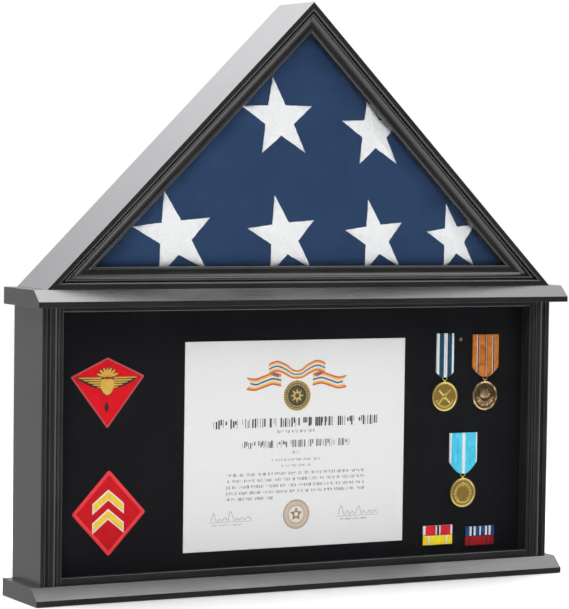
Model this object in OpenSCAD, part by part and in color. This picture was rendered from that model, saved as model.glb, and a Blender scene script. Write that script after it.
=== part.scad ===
// Folded flag display case: a triangular flag case standing on a glazed shadow box.
// X runs to the right, Y to the rear and Z up. The origin is on the underside of the base,
// in the middle of the overall width and depth.

/* [Display box] */
// Outer width of the display box
box_w = 638.5; // [560:0.5:680]
// Height of the display box between the base and the shelf
box_h = 298.4; // [297:0.1:340]
// Depth of both compartments from the display box's face to the rear
body_d = 80; // [76:1:100]
// Thickness of the side boards
side_t = 16; // [14:0.5:20]
// Width of the fluted stiles on the face
stile_w = 25.5; // [24:0.5:32]
// Thickness of the stiles and lip rails
stile_t = 12; // [10:0.5:14]
// Height of the lip rail on the base
rail_low_h = 7.8; // [5:0.1:12]
// Height of the lip rail under the shelf
rail_high_h = 6; // [4:0.1:10]
// How far the lip rails sit behind the stiles' face
rail_setback = 3.3; // [1:0.1:5]
// Depth from the face to the felt of the display board
felt_y = 26; // [24:0.5:30]

/* [Base and shelf] */
// Width of the base
base_w = 661; // [640:0.5:700]
// Width of the shelf
shelf_w = 663.3; // [640:0.1:700]
// Thickness of the base
base_t = 18.7; // [16:0.1:24]
// Thickness of the shelf
shelf_t = 18.5; // [16:0.1:24]
// How far the base stands out in front
base_front = 16.3; // [15:0.1:24]
// How far the shelf stands out in front
shelf_front = 18.8; // [15:0.1:24]
// Height of the upright front edge below the bevel
nose_h = 6.2; // [4:0.1:10]
// Depth of the bevel on the front edge
bevel_d = 14.3; // [8:0.1:14.5]

/* [Flag case] */
// Width of the triangular case along its foot
tri_w = 632.7; // [560:0.1:660]
// How far the triangular face stands in front of the display box's face
tri_front = 3.6; // [0:0.1:6]
// Width of the face moulding
mould_w = 24; // [23:0.5:26]
// Thickness of the face moulding
mould_t = 12; // [11.5:0.1:14]
// Thickness of the two sloping boards and the floor board
board_t = 16; // [14:0.5:20]
// Depth from the display box's face to the front of the folded flag
flag_y = 12.5; // [12.2:0.1:16]

/* [Display contents] */
// Width of the certificate
cert_w = 279; // [200:1:290]
// Height of the certificate
cert_h = 233; // [180:1:240]
// Height of the certificate's centre above the base's underside
cert_z = 159; // [150:1:165]
// Thickness of the certificate on its backing card
cert_t = 0.8; // [0.4:0.1:1.5]
// Half the width of both cloth patches
patch_half = 44; // [36:0.5:46]
// Thickness of the embroidered patches
patch_t = 1.6; // [1:0.1:2.5]
// Width of one ribbon bar
bar_w = 39; // [34:0.5:40]
// Height of one ribbon bar
bar_h = 11; // [9:0.1:11.2]
// Thickness of one ribbon bar
bar_t = 2.4; // [1.6:0.1:3]
// Radius of the medal discs
disc_r = 17; // [14:0.1:18]

/* [Rear panels and turn buttons] */
// Thickness of both removable rear panels
panel_t = 5.4; // [4:0.1:5.6]
// Width of a turn button
button_w = 9; // [7:0.5:10]
// Reach of a turn button from its screw
button_l = 26; // [18:1:30]
// Thickness of a turn button
button_t = 2; // [1:0.1:3]
// Radius of every screw shank
screw_r = 2; // [1.5:0.1:2.2]

/* [Hidden] */
$fn = 48;

fit = 0.3;                            // gap between pieces that move past each other
snug = 0.05;                          // gap around a screw shank or a glazing point
seat = 0.2;                           // gap between a pane and the face in front of it
bed = 0.1;                            // gap between a pane and what holds it from behind
edge_gap = 0.6;                       // gap around a rear panel or the triangular pane
pane_gap = 0.5;                       // gap around the rectangular pane
over = 1;                             // how far a cutting shape runs past what it cuts
rabbet = 6;                           // depth of the rear rabbets
rabbet_side = 6;                      // width of the rabbet in each side board
tri_rabbet = 5;                       // width of the rabbet in the triangular case
head_r = 3.8;                         // pan head of a turn button's screw
head_h = 1.8;
head_gap = 0.15;                      // play between a turn button and its screw head

box_half = box_w / 2;
box_top = base_t + box_h;             // underside of the shelf
shelf_top = box_top + shelf_t;
tri_half = tri_w / 2;
tri_face = -tri_front;
tri_back = tri_face + mould_t;        // rear of the face moulding
wall_x = box_half - side_t;           // inner face of the side boards
glass_t = 2;
glass_y = stile_t + seat;
spacer_y = glass_y + glass_t + bed;
spacer_t = 6;
spacer_end = felt_y - fit;
panel_y = body_d - rabbet + fit;
button_y = body_d + fit;
head_y = button_y + button_t + head_gap;
rear_y = head_y + head_h;
shift_y = (shelf_front - rear_y) / 2; // puts the origin in the middle of the depth
board_panel_t = 6;                    // thickness of the felt covered display board
corner = 1 + sqrt(2);                 // how far a 45 degree corner moves in per unit of inset

wood_black = [0.16, 0.16, 0.165];
felt_black = [0.07, 0.07, 0.08];
steel_grey = [0.72, 0.72, 0.70];
gold = [0.80, 0.62, 0.28];
bronze = [0.62, 0.42, 0.24];

// Moves the working frame, whose Y starts at the display box's face, to the row's origin.
module placed() translate([0, shift_y, 0]) children();

// Points along an elliptical arc from angle a0 to a1.
function arc(cx, cy, rx, ry, a0, a1, n = 10) =
    [for (i = [0:n]) let (a = a0 + (a1 - a0) * i / n) [cx + rx * cos(a), cy + ry * sin(a)]];

// Extrudes a section drawn in Y and Z along X, centred on the middle.
module along_x(len) rotate([90, 0, 90]) translate([0, 0, -len / 2]) linear_extrude(len) children();

// Extrudes an outline drawn in X and Z from depth y0 to depth y1.
module through_y(y0, y1) translate([0, y1, 0]) rotate([90, 0, 0]) linear_extrude(y1 - y0) children();

// A block given by its lowest and highest corners.
module block(lo, hi) translate(lo) cube(hi - lo);

// A round bar along Y from depth y0 to y1.
module rod_y(x, z, r, y0, y1) translate([x, y1, z]) rotate([90, 0, 0]) cylinder(r = r, h = y1 - y0);

// ---- Screws -------------------------------------------------------------------------------

cone_r = 4;                           // widest radius of a wood screw's countersunk head
cone_h = 2.4;
cone_sink = 0.4;                      // how far the head lies below the surface of the wood
cone_mid = cone_sink + cone_h / 2;

// A countersunk screw pointing up, driven in at z = 0. grow widens it into its hole.
module wood_screw(len, grow = 0) {
    translate([0, 0, cone_sink - grow]) cylinder(r1 = cone_r + grow, r2 = screw_r + grow, h = cone_h);
    translate([0, 0, cone_mid]) cylinder(r = screw_r + grow, h = len - cone_mid + grow);
    if (grow > 0) translate([0, 0, -over]) cylinder(r = cone_r + grow, h = over + cone_sink - grow);
}

side_screw_len = 44;
case_screw_len = 30;
screw_x = box_half - side_t / 2;
screw_ys = [30, 62];
case_screw_xs = [-170, 0, 170];
case_screw_y = 52;

module at_side_screws() for (x = [-screw_x, screw_x], y = screw_ys) translate([x, y, 0]) children();
module base_screw_set(grow = 0) at_side_screws() wood_screw(side_screw_len, grow);
module shelf_screw_set(grow = 0)
    at_side_screws() translate([0, 0, shelf_top]) mirror([0, 0, 1]) wood_screw(side_screw_len, grow);
module case_screw_set(grow = 0)
    for (x = case_screw_xs) translate([x, case_screw_y, box_top]) wood_screw(case_screw_len, grow);

module base_screws() placed() color(steel_grey) base_screw_set();
module shelf_screws() placed() color(steel_grey) shelf_screw_set();
module case_screws() placed() color(steel_grey) case_screw_set();

// ---- Base, shelf and display box ----------------------------------------------------------

// Section of a board whose front edge is upright at the bottom and bevelled above.
module nosed_section(front, thick) polygon([
    [-front, 0], [body_d, 0], [body_d, thick], [bevel_d - front, thick], [-front, nose_h]]);

module base_board() placed() color(wood_black) difference() {
    along_x(base_w) nosed_section(base_front, base_t);
    base_screw_set(snug);
    button_pilots(base_buttons);
}

module shelf_board() placed() color(wood_black) difference() {
    translate([0, 0, box_top]) along_x(shelf_w) nosed_section(shelf_front, shelf_t);
    shelf_screw_set(snug);
    case_screw_set(snug);
    button_pilots(shelf_buttons);
}

module side_board() difference() {
    block([wall_x, stile_t, base_t], [box_half, body_d, box_top]);
    block([wall_x - over, body_d - rabbet, base_t - over],
        [wall_x + rabbet_side, body_d + over, box_top + over]);
    base_screw_set(snug);
    shelf_screw_set(snug);
}
module side_right() placed() color(wood_black) side_board();
module side_left() placed() color(wood_black) mirror([1, 0, 0]) side_board();

// Section of a stile: s runs inward from the outer edge, d runs back from the face.
// An eased outer fillet, a groove, a round bead, a small fillet and a recessed lip.
groove_d = 3.4;
bead_s = 13;
bead_half = 5;
stile_points = concat(
    [[0, stile_t]],
    arc(1.2, 1.2, 1.2, 1.2, 180, 270, 5),
    arc(4.2, 1.6, 1.6, 1.6, 270, 360, 6),
    [[6.2, groove_d], [7.6, groove_d]],
    arc(bead_s, groove_d - 0.2, bead_half, groove_d - 0.4, 180, 360, 20),
    [[18.4, groove_d], [18.9, 2.2]],
    arc(20.2, 2.6, 0.9, 0.9, 210, 330, 6),
    [[21.4, groove_d + 0.4], [22.2, groove_d + 0.4], [22.6, rail_setback - 0.4]],
    arc(stile_w - 1, rail_setback + 0.6, 1, 1, 270, 360, 5),
    [[stile_w, stile_t]]);
module stile() translate([-box_half, 0, base_t]) linear_extrude(box_h) polygon(stile_points);
module stile_left() placed() color(wood_black) stile();
module stile_right() placed() color(wood_black) mirror([1, 0, 0]) stile();

rail_len = box_w - 2 * stile_w;
rail_ease = 1.2;                      // rounding of a lip rail's exposed edge

// Section of a lip rail standing on z = 0, with its upper front edge rounded.
module rail_section(h) polygon(concat(
    [[stile_t, 0], [rail_setback, 0]],
    arc(rail_setback + rail_ease, h - rail_ease, rail_ease, rail_ease, 180, 90, 6),
    [[stile_t, h]]));
module rail_bottom() placed() color(wood_black)
    translate([0, 0, base_t]) along_x(rail_len) rail_section(rail_low_h);
module rail_top() placed() color(wood_black)
    translate([0, 0, box_top]) mirror([0, 0, 1]) along_x(rail_len) rail_section(rail_high_h);

module display_glass() placed() color([0.8, 0.9, 0.9, 0.3])
    block([pane_gap - wall_x, glass_y, base_t + pane_gap],
        [wall_x - pane_gap, glass_y + glass_t, box_top - pane_gap]);

// Black strips that line the display space and hold the glass against the stiles.
module spacer_side() block([wall_x - spacer_t, spacer_y, base_t], [wall_x, spacer_end, box_top]);
module spacer_right() placed() color(felt_black) spacer_side();
module spacer_left() placed() color(felt_black) mirror([1, 0, 0]) spacer_side();
spacer_cross = wall_x - spacer_t;
spacer_low_t = 4;
module spacer_bottom() placed() color(felt_black)
    block([-spacer_cross, spacer_y, base_t], [spacer_cross, spacer_end, base_t + spacer_low_t]);
module spacer_top() placed() color(felt_black)
    block([-spacer_cross, spacer_y, box_top - spacer_low_t], [spacer_cross, spacer_end, box_top]);

// ---- Triangular flag case -----------------------------------------------------------------

// Corners of the case's outline moved inward by s, in X and Z.
function tri(s) = [
    [s * corner - tri_half, shelf_top + s],
    [tri_half - s * corner, shelf_top + s],
    [0, shelf_top + tri_half - s * sqrt(2)]];
module tri_prism(s, y0, y1) through_y(y0, y1) polygon(tri(s));

foot = board_t * sqrt(2);             // length of a sloping board's level foot
module case_floor() placed() color(wood_black) difference() {
    through_y(tri_back, body_d) polygon([
        [foot - tri_half, shelf_top], [tri_half - foot, shelf_top],
        [tri_half - foot - board_t, shelf_top + board_t], [foot + board_t - tri_half, shelf_top + board_t]]);
    tri_prism(board_t - tri_rabbet, body_d - rabbet, body_d + over);
    case_screw_set(snug);
    glazing_set(snug);
    button_pilots(case_buttons);
}

module rafter() difference() {
    through_y(tri_back, body_d) polygon([
        [-tri_half, shelf_top], [foot - tri_half, shelf_top],
        [0, shelf_top + tri_half - foot], [0, shelf_top + tri_half]]);
    tri_prism(board_t - tri_rabbet, body_d - rabbet, body_d + over);
    glazing_set(snug);
    button_pilots(case_buttons);
}
module rafter_left() placed() color(wood_black) rafter();
module rafter_right() placed() color(wood_black) mirror([1, 0, 0]) rafter();

// Section of the face moulding: s runs inward from the outer edge, d runs back from the face.
// A flat outer fillet with an eased shoulder, a groove, a cove and a beaded inner lip.
cove_s = 19.6;
cove_d = 7.4;
mould_points = concat(
    [[0, mould_t], [0, 1]],
    arc(1, 1, 1, 1, 180, 270, 4),
    arc(4.6, 2.8, 2.8, 2.8, 270, 345, 8),
    [[7.8, 4.6], [8.8, 4.6], [9.2, 2.4]],
    arc(cove_s, 2.4, cove_s - 9.8, cove_d - 2.4, 180, 90, 12),
    [[20.4, cove_d]],
    arc(22.2, cove_d - 0.2, 1.8, 1.8, 180, 360, 12),
    [[mould_w, cove_d], [mould_w, mould_t]]);

// A run of face moulding along X standing on the outer edge, s upward.
module mould_run(len) rotate([90, 0, 90]) translate([0, 0, -len / 2]) linear_extrude(len)
    polygon([for (p = mould_points) [tri_face + p[1], p[0]]]);

module face_bottom() placed() color(wood_black) intersection() {
    translate([0, 0, shelf_top]) mould_run(tri_w);
    through_y(tri_face - over, tri_back + over) polygon([
        tri(0)[0], tri(0)[1], tri(mould_w)[1], tri(mould_w)[0]]);
}

module face_side() intersection() {
    translate([-tri_half, 0, shelf_top]) rotate([0, -45, 0]) translate([tri_half * sqrt(2) / 2, 0, 0])
        mirror([0, 0, 1]) mould_run(tri_half * sqrt(2) + 2 * over);
    through_y(tri_face - over, tri_back + over) polygon([
        tri(0)[0], tri(mould_w)[0], tri(mould_w)[2], tri(0)[2]]);
}
module face_left() placed() color(wood_black) face_side();
module face_right() placed() color(wood_black) mirror([1, 0, 0]) face_side();

case_glass_y = tri_back + seat;
point_y = case_glass_y + glass_t + bed;
module case_glass() placed() color([0.8, 0.9, 0.9, 0.3])
    tri_prism(board_t + edge_gap, case_glass_y, case_glass_y + glass_t);

// Thin steel points, three to a side, pushed into the boards behind the glass.
point_in = 4;
point_out = 6;
point_w = 8;
point_t = 0.8;
point_pitch_floor = tri_half * 0.5;   // spacing of the three points along the floor board
point_pitch_slope = tri_half * 0.4;   // spacing of the three points along a sloping board
module glazing_point(grow) block(
    [-point_w / 2 - grow, point_y - grow, board_t - point_in - grow],
    [point_w / 2 + grow, point_y + point_t + grow, board_t + point_out]);
module glazing_row(span, grow) for (i = [-1:1]) translate([i * span, 0, 0]) glazing_point(grow);
module glazing_set(grow = 0) {
    translate([0, 0, shelf_top]) glazing_row(point_pitch_floor, grow);
    for (m = [0, 1]) mirror([m, 0, 0]) translate([-tri_half / 2, 0, shelf_top + tri_half / 2])
        rotate([0, -45, 0]) mirror([0, 0, 1]) glazing_row(point_pitch_slope, grow);
}
module glazing_points() placed() color(steel_grey) glazing_set();

// The folded flag: a thick triangle whose front edges roll back to the boards.
flag_roll = 11;
flag_gap = 1.2;                       // gap between the flag and the boards around it
flag_room = 3;                        // gap between the flag and the rear panel's rabbet
flag_inset = board_t + flag_gap;
flag_back = body_d - rabbet - flag_room;
module folded_flag() placed() color([0.13, 0.2, 0.36]) hull() {
    tri_prism(flag_inset, flag_y + flag_roll, flag_back);
    tri_prism(flag_inset + flag_roll, flag_y, flag_y + flag_roll);
}

module case_back() placed() color(wood_black)
    tri_prism(board_t - tri_rabbet + edge_gap, panel_y, panel_y + panel_t);

// ---- Removable back of the display box ----------------------------------------------------

module display_back() placed() color(wood_black) block(
    [edge_gap - wall_x - rabbet_side, panel_y, base_t + edge_gap],
    [wall_x + rabbet_side - edge_gap, panel_y + panel_t, box_top - edge_gap]);

board_gap_x = 1.2;                    // gap between the felt board and the side boards
board_gap_z = 0.9;                    // gap between the felt board and the base or the shelf
board_half = wall_x - board_gap_x;
module display_board() placed() color(felt_black) block(
    [-board_half, felt_y, base_t + board_gap_z],
    [board_half, felt_y + board_panel_t, box_top - board_gap_z]);

standoff = 30;                        // side of the square blocks between the board and the panel
standoff_x = 250;
standoff_z = 100;
board_back = felt_y + board_panel_t;
module standoff_blocks() placed() color(wood_black)
    for (x = [-standoff_x, standoff_x], z = [-standoff_z, standoff_z])
        translate([x - standoff / 2, board_back, base_t + box_h / 2 + z - standoff / 2])
            cube([standoff, panel_y - board_back, standoff]);

// ---- What the display board carries -------------------------------------------------------

module certificate() placed() color([0.93, 0.93, 0.90]) block(
    [-cert_w / 2, felt_y - cert_t, cert_z - cert_h / 2], [cert_w / 2, felt_y, cert_z + cert_h / 2]);

kite_x = -232.4;
kite_z = 240;
kite_up = 20.7;
kite_down = 57;
module patch_kite() placed() color([0.70, 0.12, 0.12]) translate([kite_x, 0, kite_z])
    through_y(felt_y - patch_t, felt_y) polygon([
        [0, -kite_down], [patch_half, 0], [0, kite_up], [-patch_half, 0]]);

diamond_x = -229.6;
diamond_z = 91;
diamond_half_h = 47.4;
module patch_diamond() placed() color([0.70, 0.12, 0.12]) translate([diamond_x, 0, diamond_z])
    through_y(felt_y - patch_t, felt_y) polygon([
        [0, -diamond_half_h], [patch_half, 0], [0, diamond_half_h], [-patch_half, 0]]);

pin_x = 213.5;
pin_z = 272.9;
pin_r = 2.2;
pin_post_r = 1;
pin_front = 2.6;                      // felt to the front of the pin
pin_post = 1.2;                       // length of the post between the pin and the felt
module lapel_pin() placed() color(gold) {
    rod_y(pin_x, pin_z, pin_r, felt_y - pin_front, felt_y - pin_post);
    rod_y(pin_x, pin_z, pin_post_r, felt_y - pin_post, felt_y);
}

// Medals: [x of the middle, z of the ribbon's top, z of its shoulder, z of its tip, width]
medals = [
    [193, 280, 235, 229, 22.6],
    [247.7, 278, 240, 228.6, 35],
    [219.5, 164, 130, 116.4, 36.6]];
ribbon_t = 2.6;
tip_w = 7;                            // width of the ribbon's tip around the ring
slot_h = 3.6;                         // height of the slot that the ring passes through
slot_front = 1.8;                     // felt to the front of the slot
slot_back = 0.5;                      // felt to the back of the slot
ring_r = 3;
wire_r = 0.45;
ring_rise = 2.5;                      // height of the ring's top wire above the ribbon's tip
ring_y = felt_y - (slot_front + slot_back) / 2;
pendant_front = 2.6;                  // felt to the front of a pendant
pendant_back = fit;                   // felt to the back of a pendant
lug_r = 1.4;                          // lug between the ring and the disc
lug_drop = ring_r + 1.1;              // ring's middle down to the lug's
lug_front = pendant_front - 0.5;
lug_back = pendant_back + 0.4;
disc_drop = ring_r + 1.6 + disc_r;    // ring's middle down to the disc's
rim_w = 1.4;                          // width of the disc's raised rim
rim_h = 0.6;                          // height of the rim above the field
boss_r = disc_r * 0.6;                // raised middle of the disc
boss_h = 1;

module ribbon(m) translate([m[0], 0, 0]) difference() {
    through_y(felt_y - ribbon_t, felt_y) polygon([
        [-m[4] / 2, m[1]], [-m[4] / 2, m[2]], [-tip_w / 2, m[3]],
        [tip_w / 2, m[3]], [m[4] / 2, m[2]], [m[4] / 2, m[1]]]);
    block([-m[4], felt_y - slot_front, m[3] - over], [m[4], felt_y - slot_back, m[3] + slot_h]);
}
module medal_1_ribbon() placed() color([0.10, 0.25, 0.30]) ribbon(medals[0]);
module medal_2_ribbon() placed() color([0.75, 0.35, 0.15]) ribbon(medals[1]);
module medal_3_ribbon() placed() color([0.45, 0.65, 0.85]) ribbon(medals[2]);

// A disc with a raised rim, hung on a round ring through the ribbon's slot.
module pendant(m) translate([m[0], 0, m[3] + ring_rise - ring_r]) {
    translate([0, ring_y, 0]) rotate([90, 0, 0]) rotate_extrude() translate([ring_r, 0]) circle(wire_r);
    rod_y(0, -lug_drop, lug_r, felt_y - lug_front, felt_y - lug_back);
    translate([0, felt_y - pendant_front, -disc_drop]) {
        difference() {
            rod_y(0, 0, disc_r, 0, pendant_front - pendant_back);
            rod_y(0, 0, disc_r - rim_w, -over, rim_h);
        }
        rod_y(0, 0, boss_r, 0, boss_h);
    }
}
module medal_1_pendant() placed() color(gold) pendant(medals[0]);
module medal_2_pendant() placed() color(bronze) pendant(medals[1]);
module medal_3_pendant() placed() color(gold) pendant(medals[2]);

// A ribbon bar centred on x with its foot at z.
module ribbon_bar(x, z) block([x - bar_w / 2, felt_y - bar_t, z], [x + bar_w / 2, felt_y, z + bar_h]);
bars_left_x = 186.6;
bars_left_z = 35;
bars_right_x = 243.9;
bars_right_z = 31.6;
bar_pitch = 11.4;                     // height from one bar's foot to the next one's
module bar_yellow() placed() color([0.80, 0.65, 0.20]) ribbon_bar(bars_left_x, bars_left_z);
module bar_red() placed() color([0.70, 0.15, 0.15]) ribbon_bar(bars_left_x, bars_left_z + bar_pitch);
module bar_maroon() placed() color([0.45, 0.10, 0.12]) ribbon_bar(bars_right_x, bars_right_z);
module bar_blue() placed() color([0.15, 0.25, 0.45]) ribbon_bar(bars_right_x, bars_right_z + bar_pitch);

// ---- Turn buttons -------------------------------------------------------------------------

// Each button: [x, z of its screw, angle of its open arm about Y]
edge_mid = (board_t - tri_rabbet) / 2; // middle of the case's narrow rear edge
slope_x = tri_half / 2 - edge_mid / sqrt(2);
slope_z = shelf_top + tri_half / 2 - edge_mid / sqrt(2);
button_x = 190;
case_buttons = [
    [-slope_x, slope_z, -45],
    [slope_x, slope_z, 45],
    [0, shelf_top + edge_mid, 180]];
shelf_buttons = [[-button_x, box_top + shelf_t / 2, 0], [button_x, box_top + shelf_t / 2, 0]];
base_buttons = [[-button_x, base_t / 2, 180], [button_x, base_t / 2, 180]];
pilot_l = 11;                         // how deep a button's screw goes into its board
running = 0.08;                       // radial clearance of a button on its screw
cut_l = 6;                            // length of the slot across a screw's head
cut_w = 1;                            // width of that slot
cut_d = 0.7;                          // depth of that slot

module button_pilots(list)
    for (b = list) rod_y(b[0], b[1], screw_r + snug, body_d - pilot_l - snug, body_d + over);

module turn_button(b) placed() color(steel_grey) difference() {
    translate([b[0], 0, b[1]]) rotate([0, b[2], 0]) union() {
        rod_y(0, 0, button_w / 2, button_y, button_y + button_t);
        rod_y(button_l - button_w / 2, 0, button_w / 2, button_y, button_y + button_t);
        block([0, button_y, -button_w / 2], [button_l - button_w / 2, button_y + button_t, button_w / 2]);
    }
    rod_y(b[0], b[1], screw_r + running, button_y - over, button_y + button_t + over);
}
module button_case_left() turn_button(case_buttons[0]);
module button_case_right() turn_button(case_buttons[1]);
module button_case_bottom() turn_button(case_buttons[2]);
module button_shelf_left() turn_button(shelf_buttons[0]);
module button_shelf_right() turn_button(shelf_buttons[1]);
module button_base_left() turn_button(base_buttons[0]);
module button_base_right() turn_button(base_buttons[1]);

module button_screws() placed() color(steel_grey)
    for (b = concat(case_buttons, shelf_buttons, base_buttons)) {
        rod_y(b[0], b[1], screw_r, body_d - pilot_l, head_y + head_h / 2);
        difference() {
            rod_y(b[0], b[1], head_r, head_y, head_y + head_h);
            block([b[0] - cut_l / 2, head_y + head_h - cut_d, b[1] - cut_w / 2],
                [b[0] + cut_l / 2, head_y + head_h + over, b[1] + cut_w / 2]);
        }
    }

base_board();
shelf_board();
side_left();
side_right();
stile_left();
stile_right();
rail_top();
rail_bottom();
display_glass();
spacer_left();
spacer_right();
spacer_top();
spacer_bottom();
base_screws();
shelf_screws();
case_screws();
case_floor();
rafter_left();
rafter_right();
face_left();
face_right();
face_bottom();
case_glass();
glazing_points();
folded_flag();
case_back();
display_back();
standoff_blocks();
display_board();
certificate();
patch_kite();
patch_diamond();
lapel_pin();
medal_1_ribbon();
medal_2_ribbon();
medal_3_ribbon();
medal_1_pendant();
medal_2_pendant();
medal_3_pendant();
bar_red();
bar_yellow();
bar_blue();
bar_maroon();
button_screws();
button_case_left();
button_case_right();
button_case_bottom();
button_shelf_left();
button_shelf_right();
button_base_left();
button_base_right();
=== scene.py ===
"""Folded flag display case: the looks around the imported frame.

The shapes are drawn in millimetres in the row frame and become metres when a piece is made.
"""
import math
import random

import bmesh
import bpy
from mathutils import Matrix, Vector, noise


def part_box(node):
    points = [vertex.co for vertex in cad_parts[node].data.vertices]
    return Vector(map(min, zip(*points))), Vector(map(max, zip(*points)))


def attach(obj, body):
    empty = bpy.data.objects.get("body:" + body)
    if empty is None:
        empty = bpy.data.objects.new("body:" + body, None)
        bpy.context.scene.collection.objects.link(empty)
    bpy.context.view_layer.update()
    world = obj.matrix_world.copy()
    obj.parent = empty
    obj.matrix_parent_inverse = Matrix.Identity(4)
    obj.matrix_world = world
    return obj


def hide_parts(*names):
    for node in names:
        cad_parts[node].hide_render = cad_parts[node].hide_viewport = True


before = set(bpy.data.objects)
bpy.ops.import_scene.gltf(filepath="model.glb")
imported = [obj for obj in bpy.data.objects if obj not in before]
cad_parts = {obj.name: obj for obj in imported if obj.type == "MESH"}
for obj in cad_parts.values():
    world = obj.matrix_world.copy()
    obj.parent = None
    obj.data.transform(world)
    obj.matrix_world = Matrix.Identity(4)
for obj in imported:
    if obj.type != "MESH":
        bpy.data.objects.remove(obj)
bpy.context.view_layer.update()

MM = 0.001
RIGHT = Vector((1, 0, 0))
BACK = Vector((0, 1, 0))
UP = Vector((0, 0, 1))
DIAGONAL = math.sqrt(0.5)
CORNER = 1 + math.sqrt(2)             # how far a 45 degree corner moves in per unit of inset
SHARP = 35                            # faces that meet at more degrees than this keep a hard edge
EASED_FROM = 32                       # and those at more than this get it rounded


def box(node):
    """Lowest and highest corner of a CAD node in millimetres."""
    low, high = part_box(node)
    return low / MM, high / MM


# Datums of the case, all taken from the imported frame.
STILE_LOW, STILE_HIGH = box("stile_left")
SIDE_LOW, SIDE_HIGH = box("side_right")
BASE_LOW = box("base_board")[0]
SHELF_LOW, SHELF_HIGH = box("shelf_board")
MOULD_LOW, MOULD_HIGH = box("face_bottom")
FACE_Y = STILE_LOW.y                  # front of the shadow box
STILE_BACK = STILE_HIGH.y
BOX_HALF = SIDE_HIGH.x
WALL_X = SIDE_LOW.x
BASE_TOP = SIDE_LOW.z
SHELF_UNDER = SHELF_LOW.z
SHELF_TOP = SHELF_HIGH.z
REAR_Y = SHELF_HIGH.y
TRI_HALF = MOULD_HIGH.x
TRI_FACE = MOULD_LOW.y                # front of the triangular case
TRI_BACK = MOULD_HIGH.y               # rear of its face moulding
FELT_Y = box("display_board")[0].y


# ---- Mesh building --------------------------------------------------------------------------

class Shape:
    """Collects closed shells, each face with a material number and each corner with a (u, v) pair."""

    def __init__(self):
        self.points = []
        self.faces = []
        self.finishes = []
        self.pairs = []

    def add(self, points, faces, finish=0, pairs=None, corners=None):
        """Adds a shell. pairs gives a (u, v) for each point, or corners one for each face's corner."""
        start = len(self.points)
        self.points += [Vector(p) for p in points]
        for number, face in enumerate(faces):
            self.faces.append([start + i for i in face])
            self.finishes.append(finish[number] if isinstance(finish, list) else finish)
            if corners:
                self.pairs.append(corners[number])
            else:
                self.pairs.append([pairs[i] if pairs else (0.0, 0.0) for i in face])


def solid(points, faces, finish=0, pairs=None, corners=None):
    """A shape of one shell."""
    shape = Shape()
    shape.add(points, faces, finish, pairs, corners)
    return shape


def shell_mesh(name, shape):
    """A mesh in metres from a shape, with every shell's normals outward."""
    mesh = bpy.data.meshes.new(name)
    mesh.from_pydata([p * MM for p in shape.points], [], shape.faces)
    mesh.polygons.foreach_set("material_index", shape.finishes)
    layer = mesh.uv_layers.new(name="along")
    layer.data.foreach_set("uv", [n for face in shape.pairs for pair in face for n in pair])
    shell = bmesh.new()
    shell.from_mesh(mesh)
    bmesh.ops.recalc_face_normals(shell, faces=shell.faces)
    shell.to_mesh(mesh)
    shell.free()
    return mesh


def make(name, shape, materials, body, nodes=(), ease=0.0, sharp=SHARP, seam=None):
    """Turns a shape into a piece that rides on a body, with eased edges and smooth faces."""
    mesh = shell_mesh(name, shape)
    for material in materials:
        mesh.materials.append(material)
    mesh.shade_smooth()
    mesh.set_sharp_from_angle(angle=math.radians(sharp))
    piece = bpy.data.objects.new(name, mesh)
    bpy.context.scene.collection.objects.link(piece)
    if ease:
        soften(piece, ease, seam)
    if sharp == SHARP:
        level_faces(piece)
    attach(piece, body)
    if nodes:
        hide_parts(*nodes)
    return piece


def level_faces(piece):
    """Keeps large faces flat in the shading, beside their rounded edges."""
    flat = piece.modifiers.new("flat_faces", "WEIGHTED_NORMAL")
    flat.keep_sharp = True


def soften(piece, ease, seam=None):
    """Eases a piece's sharp edges, but hardly where it meets its neighbour at a seam's depth.

    Eased faces take the piece's last material."""
    shell = bmesh.new()
    shell.from_mesh(piece.data)
    weight = shell.edges.layers.float.new("bevel_weight_edge")
    for edge in shell.edges:
        if edge.is_manifold and edge.calc_face_angle() > math.radians(EASED_FROM):
            at_seam = seam is not None and all(abs(v.co.y - seam * MM) < 1e-5 for v in edge.verts)
            edge[weight] = 0.1 if at_seam else 1.0
    shell.to_mesh(piece.data)
    shell.free()
    bevel = piece.modifiers.new("ease", "BEVEL")
    bevel.width = ease * MM
    bevel.segments = 2
    bevel.limit_method = "WEIGHT"
    bevel.harden_normals = True
    bevel.material = len(piece.data.materials) - 1 if len(piece.data.materials) > 1 else -1


def turns(count):
    """Angles of equal steps round a full turn."""
    return [2 * math.pi * i / count for i in range(count)]


def polar(radius, angle, x=0.0, z=0.0):
    """The (x, z) point at a radius and an angle from a centre."""
    return Vector((x + radius * math.cos(angle), z + radius * math.sin(angle)))


def placed(points, x, z, side=1):
    """Points moved to a place, and mirrored where side is -1."""
    return [(x + side * u, z + w) for u, w in points]


def arc(cx, cy, rx, ry, start, end, steps):
    """Points along an elliptical arc, with its angles in degrees."""
    angles = [math.radians(start + (end - start) * i / steps) for i in range(steps + 1)]
    return [(cx + rx * math.cos(a), cy + ry * math.sin(a)) for a in angles]


def loft(rings, ends=(True, True)):
    """Joins rings of equally many points with quads, and closes the ends that are asked for."""
    size = len(rings[0])
    points = [p for ring in rings for p in ring]
    faces = []
    for r in range(len(rings) - 1):
        for i in range(size):
            j = (i + 1) % size
            faces.append((r * size + i, r * size + j, (r + 1) * size + j, (r + 1) * size + i))
    if ends[0]:
        faces.append(tuple(range(size)))
    if ends[1]:
        faces.append(tuple(len(points) - size + i for i in range(size)))
    return points, faces


def closed_loft(rings):
    """Joins rings into a closed loop, such as a ring of wire."""
    points, faces = loft(rings + [rings[0]], (False, False))
    size = len(points) - len(rings[0])
    return points[:size], [tuple(i % size for i in face) for face in faces]


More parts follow.
